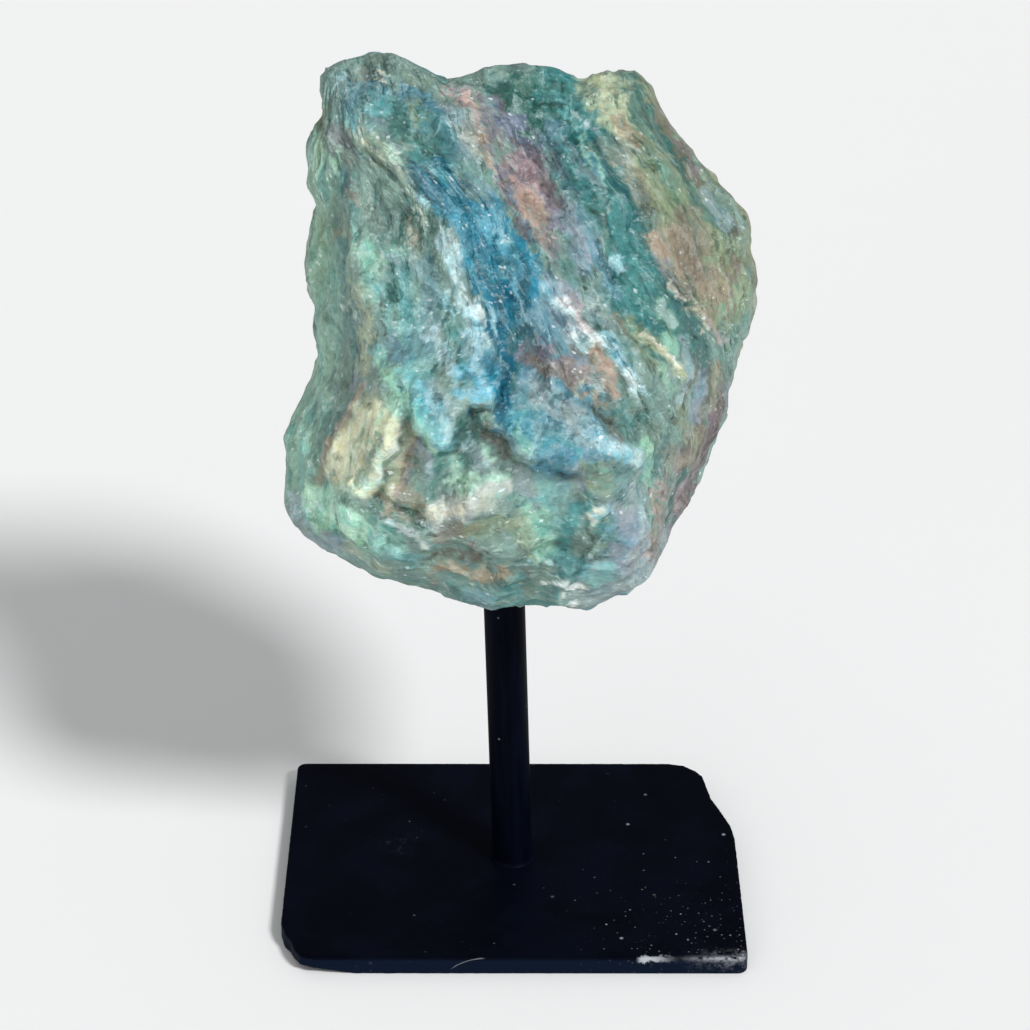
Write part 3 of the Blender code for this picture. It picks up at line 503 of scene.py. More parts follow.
STROKES["left edge top"] = (
    ("olive", 0.6, 1, -28.3, 32, -28, 27.7, -28.4, 24),
    ("mauve", 0.45, 1, -25.9, 29.1, -25.2, 26.2, -24.5, 22.6),
    ("mint", 0.6, 0.6, -26.9, 26.5, -26.8, 23.9, -27.2, 21.1),
    ("slate", 0.5, 0.9, -26.8, 22.6, -25.5, 22.1),
    ("salmon", 0.5, 0.6, -24.5, 20.4, -23.6, 18.9),
    ("sage", 0.8, 1.7, -28.8, 24.8, -29.1, 21.1, -28.4, 16.8),
    ("fog", 0.5, 0.7, -29.7, 26.2, -29.4, 24),
)
STROKES["upper left facet"] = (
    ("sage", 0.9, 2.9, -23, 24, -19.7, 19.7, -15.3, 16.8),
    ("moss", 0.6, 1.7, -20.4, 21.8, -17.5, 18.9, -14.9, 17.2),
    ("cream", 0.6, 0.4, -23.6, 27.7, -21.6, 26.8, -19.2, 25.3),
    ("olive", 0.4, 1.2, -23.3, 26.2, -19.7, 24.8),
    ("salmon", 0.75, 0.9, -18.6, 24.2, -17.2, 23, -16, 21.6),
    ("rose", 0.5, 1.2, -18.1, 23.9, -15.7, 21.3),
    # Painted highlight: frost and ice along the ridge at the facet's top.
    ("frost", 0.6, 1.2, -18.6, 24.8, -16.9, 23, -14.9, 20.4),
    ("ice", 0.7, 0.6, -15.7, 22.1, -14.9, 20.4, -13.4, 18.2),
    ("mauve", 0.35, 0.9, -16.8, 18.2, -14.3, 17.2),
    ("pine", 0.9, 0.6, -18.2, 17.2, -17.6, 15.4, -16.9, 13.7),
    ("pine", 0.9, 0.6, -14.9, 17.2, -13.7, 16.5, -12.8, 15.4),
    ("cream", 0.6, 1, -16.3, 16, -15.1, 14.6, -15.7, 13.1),
    ("mint", 0.5, 1.2, -18.2, 11.7, -17.2, 9.9),
    ("fog", 0.7, 1, -19.2, 10.8, -17.8, 9.3, -16.3, 9.9),
)
STROKES["left wall"] = (
    ("sage", 0.7, 1.9, -31.8, -20.4, -30.9, -14.6, -29.1, -8.7),
    ("olive", 0.4, 1, -29.4, 15.3, -29.7, 9.9, -29.1, 4.4),
    ("tan", 0.6, 0.9, -26.8, 14.9, -25.9, 13.1),
    ("teal", 0.5, 1.3, -25.8, 10.9, -25.6, 6.6, -25.9, 0),
    ("sage", 0.6, 1.5, -27.1, 4.4, -26.8, -2.9, -28, -10.2),
    ("frost", 0.35, 1.6, -24.5, 13.8, -22.4, 8.7, -21.6, 4.4),
    ("straw", 0.7, 1, -22.7, 6.1, -22.4, 1.5, -22.9, -2.9, -23.6, -6.1),
    ("lilac", 0.5, 0.7, -24.5, -6.6, -25.1, -8.7),
    ("mint", 0.5, 0.4, -25.5, 4.4, -24.5, 2.9),
    ("white", 0.4, 0.4, -24.8, 4.1, -24.5, 2.5),
    ("teal", 0.4, 1.3, -32, -16, -31.2, -20.4, -32, -23.3),
    ("teal", 0.4, 1, -30.3, -9.5, -29.4, -11.4, -27.7, -11.9),
    ("white", 0.5, 0.4, -27.7, -10.5, -27.4, -11.4),
    # Painted light: a broad pale stroke that lifts the shade of the stone's left side.
    ("frost", 0.38, 3.2, -29.4, 26.2, -30, 14.6, -28.6, 4.4, -29.4, -4.4, -31.2, -14.6, -32.3, -23.3),
)
STROKES["left facet"] = (
    ("aqua", 0.6, 2.5, -17.5, 6.6, -16, 0, -14.6, -5.8),
    ("steel", 0.5, 2, -13.8, 8.7, -13.1, 2.9, -14.6, -2.9),
    ("mint", 0.6, 1.3, -21.6, 11.7, -20.1, 8.7),
    ("bottle", 0.8, 0.6, -19.1, 8.4, -18.6, 5.8, -18.8, 3.2),
    ("aqua", 0.5, 0.6, -20.2, 6.6, -19.8, 3.6, -19.5, 0.7),
    ("steel", 0.7, 1.2, -19.7, -0.7, -18.2, -2.2, -16.8, -3.2),
    ("fog", 0.7, 0.9, -12.8, -0.7, -11.7, -2.9, -10.9, -4.7),
    ("ice", 0.5, 1, -13.1, -1.2, -11.9, -3.2, -10.8, -5.2),
    ("ice", 0.6, 0.6, -10.3, 4.4, -9.9, 1.5),
    ("white", 0.6, 0.4, -11.9, -4.1, -11.4, -5),
    ("ice", 0.5, 1.2, -10.2, 12.4, -9, 8, -8.2, 4.4),
    ("cream", 0.5, 0.4, -10.6, 13.8, -9.9, 10.9),
    ("sage", 0.4, 1, -11.7, 13.1, -12.2, 8.7),
)
STROKES["blue band"] = (
    ("blue", 0.9, 2.3, -13.8, 23.3, -9.9, 18.2, -6.1, 12.4, -3.6, 5.8, -2.9, 0),
    ("teal", 0.6, 1.2, -15.3, 26.2, -11.7, 23, -8.4, 19.7),
    ("steel", 0.6, 1, -14.6, 24, -12.8, 21.1, -11.4, 18.2),
    ("ice", 0.6, 0.9, -14, 24, -12.2, 23.6),
    ("aqua", 0.4, 1.2, -8.4, 24.8, -7, 23.3, -5.8, 22.4),
    ("deep", 0.8, 1.2, -10.5, 24, -8.4, 19.7, -5.8, 15.3, -2.9, 10.9, 0, 8),
    ("deep", 0.9, 1.3, -7.6, 13.8, -5.5, 8.7, -4.1, 2.9, -2.9, -2.2, -2.9, -10.2, -2.2, -13.8),
    ("sky", 0.7, 1.3, -10.9, 17.2, -8.4, 13.8, -6.7, 9.9),
    ("blue", 0.9, 2, -4.7, 18.2, -2, 14.3, 0.3, 9.9, 1.5, 5.8),
    ("steel", 0.5, 1.2, -7.3, 21.8, -5, 18.9, -2.9, 15.7),
    ("sky", 0.7, 1.3, -4.7, 16.8, -2.9, 13.1, -1.2, 9.9, -0.7, 5.8),
    # Painted glint.
    ("ice", 0.5, 0.7, -3.6, 14.3, -2, 12.7),
    ("ink", 0.7, 0.7, -0.9, 10.9, 1, 7.3, 0.6, 4.4),
    ("deep", 0.8, 1.2, -2.9, 6.6, -1.2, 2.9, -1.2, -0.7),
    ("ink", 0.8, 0.7, -3.4, 4.4, -2.9, 0, -3.2, -5.1, -2.6, -8.7, -2.9, -12.4),
    # Painted highlight and glints: ice and white on the blue band.
    ("ice", 0.7, 1.5, -7.9, 3.6, -6.1, 0, -5.8, -2.2),
    ("white", 0.7, 0.9, -6.7, 2.3, -5.8, 0.3, -5.2, -1.5),
    ("sky", 1, 2, -8.4, -5.1, -5.8, -6.6, -5.1, -9.5),
    ("sky", 0.8, 1.5, -9, -9.5, -6.6, -10.9, -4.7, -10.2),
    ("ice", 0.5, 0.9, -9.9, -2.9, -9.3, -5.8, -9.9, -8),
    ("blue", 0.6, 1.2, -7.3, 0, -4.4, -2.2, -3.8, -4.4),
)
STROKES["blue depths"] = (
    ("ice", 0.5, 0.7, -10.8, 13.8, -9.3, 11.4, -8.2, 8.7),
    ("blue", 0.6, 0.9, -7.9, 9.9, -5.8, 5.8, -4.1, 1.7),
    ("sea", 0.5, 0.6, -6.7, 10.9, -5, 8, -3.2, 4.4),
    ("ice", 0.6, 0.6, -11.7, 12.8, -10.8, 10.8, -9.9, 9),
    ("ice", 0.4, 0.5, -8.4, 4.4, -7.3, 2, -6.7, -0.3),
    ("ice", 0.45, 1.3, -7.3, 0, -4.7, -2.2, -3.8, -4.4),
    ("white", 0.5, 0.4, -9.3, 7.9, -8.4, 6.1),
    ("ice", 0.6, 0.4, -4.7, 2.6, -3.8, 0.6, -3.4, -1.2),
    ("white", 0.5, 0.3, -7.3, 5.5, -6.7, 3.8),
    ("deep", 0.8, 0.9, -2.6, -0.9, -2, -4.4, -2.3, -8.4, -2, -11.9),
    ("sea", 0.7, 0.6, -1.2, 0, -0.9, -3.8, -1.2, -7.9),
    ("teal", 0.5, 0.7, -9.3, 0, -8.4, -3.2, -7.6, -6.1),
    ("ice", 0.6, 0.6, -6.7, -3.2, -5.8, -6.1, -5.2, -9),
    ("blue", 0.6, 0.7, -4.7, -3.2, -4.1, -6.7, -3.8, -10.2),
)
STROKES["tongue"] = (
    ("aqua", 1, 1.9, -16.8, -6.6, -14.9, -10.2, -13.1, -13.8, -11.2, -16.3),
    ("sky", 0.5, 1.7, -13.8, -8.7, -11.7, -12.4, -10.8, -15.7),
    ("mint", 0.8, 1.5, -20.7, -3.6, -18.9, -6.6, -17.5, -9.5),
    ("aqua", 0.6, 1.3, -21.1, -2.9, -19.7, -4.4),
    ("ice", 0.6, 0.6, -10.8, -16, -9.9, -14.6),
    ("mint", 0.6, 0.6, -16.6, -9.6, -14.9, -13.1, -13.1, -16),
    ("ice", 0.5, 0.7, -13.1, -10.2, -11.7, -13.1, -10.6, -15.4),
    # Painted highlight: pale along the tongue's lit lower edge.
    ("frost", 0.7, 0.7, -17.8, -10.8, -16, -13.7, -14, -16.3, -11.9, -17.5),
    ("fog", 0.5, 0.9, -12.2, -8.4, -11.1, -10.8, -9.9, -13.1),
    ("ice", 0.5, 0.4, -8.4, -14.6, -8.3, -16.6),
)
STROKES["lemon block"] = (
    ("straw", 1, 2.9, -24.8, -21, -23.3, -16, -22.1, -11.9),
    ("lemon", 1, 2.8, -25.3, -19.5, -23.6, -15.4, -20.7, -13.1),
    ("straw", 0.7, 1.7, -18.4, -13.1, -19.2, -16.6, -20.2, -19.5, -21.3, -22.1),
    ("lemon", 0.7, 1, -18.1, -13.1, -18.9, -16.6, -20, -19.5, -21, -22.1),
    ("lemon", 0.9, 1.3, -24.5, -21.8, -22.7, -22.4, -21.6, -23),
    ("lemon", 0.6, 1.3, -23.9, -16.6, -23.9, -19.2, -24.8, -21.6),
    ("olive", 0.25, 1, -21.3, -13.1, -22.1, -14.6, -20.7, -15.1),
    ("lemon", 0.8, 1.2, -24.5, -11.4, -23, -12.8, -22.4, -14.6),
    ("lemon", 0.7, 1.2, -23, -15.7, -22.4, -17.8, -23, -20.1),
    ("frost", 0.5, 0.9, -24.8, -23.3, -23, -23.6, -21.8, -21.8),
    ("frost", 0.6, 0.6, -19.8, -10.2, -18.6, -11.1, -17.8, -11.9),
    ("white", 0.6, 0.4, -16.9, -12.2, -17.5, -14.6, -18.2, -16.9, -19.5, -19.8, -20.4, -22.1),
    ("salmon", 0.5, 0.5, -23.3, -8, -24.8, -10.5, -26.5, -14.6, -27.4, -17.8, -28, -20.4),
    ("tan", 0.6, 0.6, -27.2, -16, -28, -19.7, -29.4, -22.6),
)
STROKES["brown hollow"] = (
    ("tan", 0.9, 1.6, -18.9, -24, -17.6, -20.7, -16.6, -17.8),
    ("straw", 0.6, 0.9, -18.9, -23.3, -17.9, -21, -16.9, -19.2),
    ("taupe", 0.9, 1.2, -16.9, -13.7, -15.7, -15.4, -16.3, -17.2),
    # Painted light: cream and straw that lift the shade in the hollow.
    ("cream", 0.4, 1.3, -17, -13.1, -17.2, -16, -17.8, -18.4),
    ("straw", 0.5, 0.9, -16.6, -14.6, -17.2, -16.3, -17.8, -17.5),
    ("cream", 0.6, 0.5, -17.8, -21.6, -18.5, -23.6),
    ("rose", 0.4, 0.7, -15.7, -20.1, -16.6, -22.4, -17.2, -24.2),
    ("fog", 0.9, 1.3, -14.6, -16, -13.4, -18.6, -12.5, -20.4),
    ("lilac", 0.4, 0.9, -14.9, -15.4, -13.7, -17.5, -13.4, -19.8),
    ("frost", 0.4, 1.2, -11.4, -17.8, -9.6, -19.2, -8.7, -21),
    ("pine", 0.7, 1, -11.4, -19.2, -11.7, -21.6, -12.2, -23.3),
    ("tan", 0.6, 1, -16, -22.4, -14.3, -25.1, -13.1, -26.5),
    ("taupe", 0.6, 0.9, -17.2, -24.8, -15.4, -25.9, -13.1, -27.4),
    ("pine", 0.6, 0.6, -16.3, -24.8, -14, -26.5, -12.2, -28.3),
)
STROKES["under the tongue"] = (
    # Painted shadow: dark green and brown under the tongue's lip.
    ("pine", 0.9, 1.2, -9, -14.9, -6.6, -14.3, -4.1, -16),
    ("umber", 0.7, 0.9, -4.7, -15.7, -2.6, -17, -1.7, -18.4),
    ("fog", 0.7, 1.3, -7.6, -17.2, -5.1, -18.2, -6.1, -19.8),
    ("frost", 0.8, 0.6, -5.4, -18.1, -3.8, -18.4),
    ("ice", 0.6, 0.4, -8.6, -14.6, -8.3, -16.2),
)
STROKES["pale lump"] = (
    ("fog", 1, 2.2, -11.9, -26.8, -9.3, -25.6, -5.8, -24.2, -2.9, -23),
    ("cream", 0.4, 1.9, -11.9, -26.5, -9, -25.3, -5.5, -23.9, -2.9, -23),
    ("cream", 0.6, 1.2, -13.1, -26.2, -11.1, -26.8, -9, -26.2),
    ("frost", 0.6, 1, -8.2, -23, -5.5, -21.6, -2.3, -21),
    # Painted light: lifts the shade of the lobe above.
    ("frost", 0.7, 0.7, -10.2, -21.7, -8.4, -21.1, -6.4, -20.5),
    ("straw", 0.3, 1.3, -5.2, -25.1, -2.6, -24.2),
    ("white", 0.4, 0.4, -11.7, -26.2, -9.9, -26.5),
    ("taupe", 0.7, 1.3, -11.7, -29.4, -9, -29.1, -6.7, -28.6),
    ("olive", 0.6, 1.7, -6.7, -28.7, -2.9, -27.7, 0, -29.1),
)
STROKES["under hollow"] = (
    ("umber", 0.8, 0.6, -12.5, -32.9, -10.2, -31.9, -7.3, -31.8, -5.1, -32.3),
    ("tan", 0.9, 1.5, -11.7, -35, -8, -34.7, -4.4, -35.3, -2.2, -35),
    ("cream", 0.6, 0.9, -9.8, -33.9, -8.7, -35.7),
    ("cream", 0.4, 0.7, -5.8, -33.5, -6.1, -35.4),
    ("taupe", 0.5, 0.9, -0.7, -34.2, 1.5, -35.7),
    ("pine", 0.5, 0.6, -10.2, -37.1, -2.9, -37.6, 2.9, -37.9),
    ("teal", 0.6, 0.9, -2.9, -38.6, 1.5, -39, 5.1, -39.3),
    ("steel", 0.5, 1, -7.3, -38.2, -4.4, -38.9),
)
STROKES["mint lump"] = (
    ("mint", 1, 3.5, -29.4, -26.2, -25.5, -27.4, -21.3, -29.4),
    # Pale green on the mint lump, made lighter as painted light that lifts the shade on its lower side.
    ("frost", 0.9, 2.3, -30, -25.1, -26.5, -26.2, -23.6, -27.7),
    ("frost", 0.8, 1.6, -23.3, -28.3, -20.1, -29.1, -17.5, -30.9),
    ("aqua", 0.7, 1.7, -20.7, -30.3, -18.1, -31.8, -15.7, -33.2),
    ("frost", 0.7, 1.3, -30.9, -24.8, -28.6, -23.9, -26.5, -23.6),
    ("teal", 0.5, 1, -21, -26.8, -18.9, -28.3, -17.2, -30.3),
    ("white", 0.5, 0.6, -18.9, -26.5, -16.9, -27.7, -15.4, -28.8, -14, -30.6),
    ("lilac", 0.5, 1.2, -33.1, -24, -32.3, -26.9, -29.9, -29.9, -26.9, -31.8),
    ("fog", 0.7, 1, -32.3, -24.8, -31.3, -27.7),
    ("fog", 0.4, 1, -29.1, -30.6, -25.5, -32.3, -22.6, -33.8),
    ("straw", 0.5, 0.7, -25.5, -32, -21.8, -33.8, -19.7, -35),
    ("sage", 0.6, 1.2, -17.5, -34.2, -15.7, -35.7),
)
STROKES["centre low"] = (
    ("aqua", 0.6, 2.3, 4.1, -21.6, 4.7, -25.5, 3.6, -29.1),
    ("mint", 0.7, 2, 2.2, -26.5, 1.5, -29.1, 3.6, -31.3),
    ("straw", 0.4, 1.5, 0, -26.9, 1.2, -29.1, 1.5, -31.3),
    ("teal", 0.9, 1.5, 6.6, -29.9, 7.6, -28.4, 8.7, -26.9),
    ("teal", 0.8, 1.9, 5.8, -31.8, 7.3, -34.2, 8, -35.7),
    ("ice", 0.8, 0.5, 1.7, -32.9, 3.6, -33.8, 5.5, -34.8),
    ("mint", 0.6, 0.7, 2.2, -33.2, 4.4, -34.4),
    ("white", 0.9, 1, 4.4, -37.1, 6.1, -37.9, 8, -38.9),
    ("aqua", 0.8, 1.7, 10.2, -37.1, 11.7, -36.1, 13.4, -34.7),
    ("fog", 0.7, 1.5, 0, -21.8, 1.5, -24),
    ("blue", 0.5, 1.2, 2.2, -18.2, 4.4, -19.2, 7, -20.4),
    ("steel", 0.5, 1.3, 2.9, -20.4, 5.8, -21.8),
    ("olive", 0.6, 1.5, 9.9, -20.1, 11.9, -21.6, 13.4, -23),
    ("sage", 0.5, 0.7, 8.7, -19.2, 11.7, -21.3, 14.9, -23.3),
    ("lilac", 0.5, 1, 7.6, -20.4, 9.5, -22.6),
    ("cream", 0.8, 0.6, 10.2, -24.5, 11.1, -25.9, 11.5, -27.7),
    ("ice", 0.6, 0.7, 11.9, -25.9, 13.8, -26.5),
    ("teal", 0.4, 1.7, 15.3, -20.4, 14.9, -23.3),
    ("ink", 0.6, 0.4, 13.4, -29.9, 11.9, -32, 9.9, -34.4, 8.7, -35.8),
    ("teal", 0.6, 1, 12.8, -28.4, 11.9, -30.3),
    ("lilac", 0.7, 1.7, 14.9, -26.2, 16, -29.9, 17.5, -32.8),
    ("steel", 0.6, 0.7, 13.4, -26.5, 14.3, -29.1, 15.3, -32),
    ("lilac", 0.6, 1.3, 13.1, -31.3, 15.3, -34.2),
    ("fog", 0.6, 1.5, 18.2, -31.3, 17.5, -35),
    ("rose", 0.7, 0.5, 19.8, -22.4, 20.8, -25.5, 20.1, -27.7),
    ("rose", 0.6, 0.7, 18.6, -29.1, 19.2, -32, 18.2, -34.2),
    ("taupe", 0.6, 1.5, 22.7, -18.2, 21.6, -23.3, 21, -28.4, 19.7, -33.5),
    ("mauve", 0.5, 1, 24.5, -14.6, 23.3, -20.4, 22.1, -25.5, 21, -30.6),
    ("sage", 0.6, 0.7, 22.1, -20.4, 21.6, -24.8, 21.8, -28.4),
    ("bottle", 0.5, 0.6, 25.3, -13.1, 24.5, -18.2, 22.7, -24.8),
    ("bottle", 0.8, 0.9, 24.8, -21.3, 23.6, -24.2, 22.4, -26.9),
    ("ink", 0.5, 0.4, 21.6, -16, 20.7, -19.2, 20.4, -21.8),
)
STROKES["crust"] = (
    ("aqua", 0.9, 1.9, -0.6, -13.1, 1.5, -15.3, 4.1, -16, 8, -16),
    ("steel", 0.6, 1.5, 1.5, -13.8, 4.4, -14.9, 8, -15.4),
    ("blue", 0.4, 0.9, -0.6, -13.8, 1.5, -15.7, 3.6, -16.6),
    ("ice", 0.55, 1.7, 8, -14.6, 11.7, -16, 15.7, -17.5, 17.5, -18.6),
    # Painted glint.
    ("ice", 0.5, 0.7, 0, -16.8, 1.5, -17.5, 2.3, -16.3),
    ("blue", 0.6, 1, 3.6, -16.8, 5.8, -17.5, 7.3, -18.2),
    ("sky", 0.6, 0.9, 9.5, -16.8, 12.4, -17.8, 14.9, -18.6),
    # Painted glint.
    ("ice", 0.8, 0.7, 13.4, -16, 15.3, -16.9, 16.9, -17.8),
    ("blue", 0.5, 1.2, -1.5, -13.1, 0, -14.6),
    ("ice", 0.4, 1, 3.6, -13.1, 5.8, -14.3),
    # Painted glint.
    ("ice", 0.6, 0.7, 8.4, -12.8, 9.9, -13.8),
    ("steel", 0.4, 1, 5.8, -14.3, 8.7, -15.4, 11.7, -16),
    # Painted glint.
    ("ice", 0.5, 0.6, 11.7, -17, 14, -17.6, 16.3, -18.5),
    ("mint", 0.5, 0.9, -0.3, -14.6, 1.2, -16.3),
    ("steel", 0.7, 0.7, 5.2, -17.5, 7.6, -18.1, 10.5, -18.6),
    ("fog", 0.6, 0.9, 6.7, -14.9, 8.7, -15.7, 10.5, -16.6),
    ("mint", 0.9, 0.7, 17.5, -16.6, 19.2, -16, 18.6, -18.6),
    ("mint", 0.5, 1.3, 19.7, -18.9, 19.2, -21.8),
)
STROKES["trough between"] = (
    ("fog", 0.8, 1.7, 2.2, -9.5, 4.7, -10.9, 7.6, -12.4),
    ("aqua", 0.4, 1.5, 0.7, -10.2, 2.9, -11.9),
    ("tan", 0.9, 1, 7.3, -8.4, 9.9, -9.2, 12.1, -10.2),
    ("cream", 0.4, 0.6, 7.6, -8.2, 8.7, -9.5),
    ("pine", 0.6, 1.7, 11.7, -11.4, 14.6, -12.4, 17.5, -13.8),
    ("teal", 0.5, 1.3, 14.6, -10.9, 16.8, -12.4),
    ("umber", 0.7, 0.6, 10.5, -11.7, 12.5, -12.8, 14.3, -14.3),
    ("sage", 0.7, 1.3, 18.2, -13.8, 20.4, -13.1, 21.1, -14.9),
    ("mauve", 0.8, 2.5, 1.5, -2.9, 4.4, -5.1, 8, -6.6),
    ("taupe", 0.6, 1.7, 3.6, -5.8, 6.6, -7, 10.2, -6.6),
    ("umber", 0.5, 1.2, 1.2, -4.7, 3.2, -6.1),
    ("umber", 0.35, 1, 6.1, -5.2, 5.5, -7.3),
    ("steel", 0.6, 1.6, 1.2, 1.7, 3.6, 0, 5.8, -1.7),
    ("sea", 0.45, 1.3, -0.6, 2, 0.6, 0, 1.5, -2.2),
    ("fog", 0.5, 1.2, 3.6, -9.5, 1.5, -8),
)
STROKES["glint band"] = (
    ("lilac", 0.7, 1.3, 5.2, 6.6, 7, 4.4, 8.7, 2.6),
    ("slate", 0.6, 0.9, 3.6, 7.3, 5.8, 3.6, 8, 1.2),
    ("ice", 0.35, 1.6, 4.1, 5.8, 6.7, 2.3, 10.2, -1.2),
    ("lilac", 0.5, 0.9, 4.1, 4.4, 6.1, 1.7, 8.2, -0.3),
    # Painted highlight: white along the glinting ridge.
    ("white", 0.85, 1, 5.5, 4.4, 7.3, 2.6, 9.6, 0.6, 11.9, -1.7),
    ("rose", 0.5, 0.6, 6.7, 5, 8.7, 2.6, 10.8, 0.9),
    ("rose", 0.5, 0.7, 8, 2, 10.2, 0.3),
    # Painted glint.
    ("white", 0.6, 0.4, 10.2, 1.5, 11.5, 0.1),
    ("salmon", 0.9, 1.3, 11.1, -2.9, 12.2, -5.2, 13.4, -8.4),
    ("tan", 0.6, 0.9, 11.1, -2.3, 10.2, -4.7),
    ("umber", 0.6, 0.9, 8.7, -2.2, 10.2, -4.4),
    # Painted highlight and glint: ice and white at the ridge's lower end.
    ("ice", 0.8, 1.2, 13.4, -1.7, 14.9, -4.4, 16.6, -7, 17.5, -9),
    ("blue", 0.5, 0.7, 14.3, -2.9, 16, -5.5),
    ("white", 0.5, 0.7, 15.3, -6.1, 17.2, -8.2),
    ("fog", 0.6, 1.5, 10.9, 4.4, 13.4, 1.5),
    ("teal", 0.4, 1.3, 11.7, 5.8, 15.3, 1.5),
)
STROKES["curved layers right"] = (
    ("tan", 0.7, 0.6, 14.3, 2.6, 15.7, 0.3, 17.5, -2.9),
    ("olive", 0.6, 1, 17.5, -2.2, 19.2, -4.4, 20.7, -6.1),
    ("olive", 0.7, 0.9, 16.3, 1.5, 18.2, 0, 20.4, -1.7),
    ("straw", 0.8, 0.9, 17.2, -0.9, 19.2, -1.6, 21.3, -3.4, 23, -5.7),
    ("cream", 0.9, 0.4, 18.1, -0.6, 19.8, -1.5, 21.6, -3.2, 23, -5.2),
    ("bottle", 0.6, 0.4, 16.6, -1.2, 18.9, -2.9, 21, -5),
    ("bottle", 0.6, 1.5, 20.4, 3.8, 21.6, 2, 23.3, 0),
    ("mint", 0.8, 1.2, 20.7, 3.2, 21.6, 2, 22.7, 0.6),
    ("fog", 0.6, 0.9, 20.8, 3.2, 21.7, 2, 22.7, 0.7),
    ("bottle", 0.4, 0.4, 19.2, 4.1, 20.4, 1.7, 21.6, -0.3),
    ("mint", 0.7, 1, 22.1, -1.5, 22.7, -3.2),
    ("sea", 0.7, 1.2, 23.3, 4.4, 25.3, 1.5, 26.5, -2.2, 26.2, -5.1),
    ("sage", 0.5, 0.9, 19.7, -6.6, 21.6, -8.7, 22.1, -10.9),
    ("mint", 0.5, 0.6, 20.7, -6.1, 22.1, -8.7),
    ("fog", 0.7, 0.6, 23.9, -1.5, 24.8, -3.8, 24.2, -6.7, 23, -10.2),
    ("lilac", 0.7, 0.7, 26.2, -5.8, 25.9, -9, 24.8, -13.1),
    ("umber", 0.6, 0.4, 25.2, -3.2, 25.1, -6.6, 23.9, -10.2, 22.4, -13.7),
    ("rose", 0.7, 0.6, 27.1, 2.6, 28.8, 0, 29.7, -1.7),
    ("tan", 0.7, 0.9, 28.6, -4.7, 28, -8.4, 27.1, -12.4),
    ("umber", 0.6, 0.4, 27.2, -4.4, 27.1, -8, 25.9, -11.9, 24.5, -16),
    ("mauve", 0.5, 0.9, 29.4, -7.3, 28, -12.4, 26.2, -16.8),
    ("taupe", 0.8, 1.2, 25.3, -14.6, 24.8, -16.9, 23.9, -19.2),
    ("mauve", 0.8, 1, 27.4, -11.9, 26.5, -16.9, 25.1, -22.7, 23.6, -28.6, 21.6, -33.8),
    ("umber", 0.5, 0.6, 28.3, -10.2, 27.4, -14.6, 26.2, -18.9, 25.1, -23.9, 23.9, -27.7),
    ("rose", 0.5, 0.4, 25.9, -16, 24.8, -21.3, 23.3, -26.5),
    ("umber", 0.5, 0.4, 26.8, -14.6, 25.6, -18.2, 24.8, -21.1),
    ("olive", 0.4, 1.2, 23.3, -11.7, 24, -16),
)
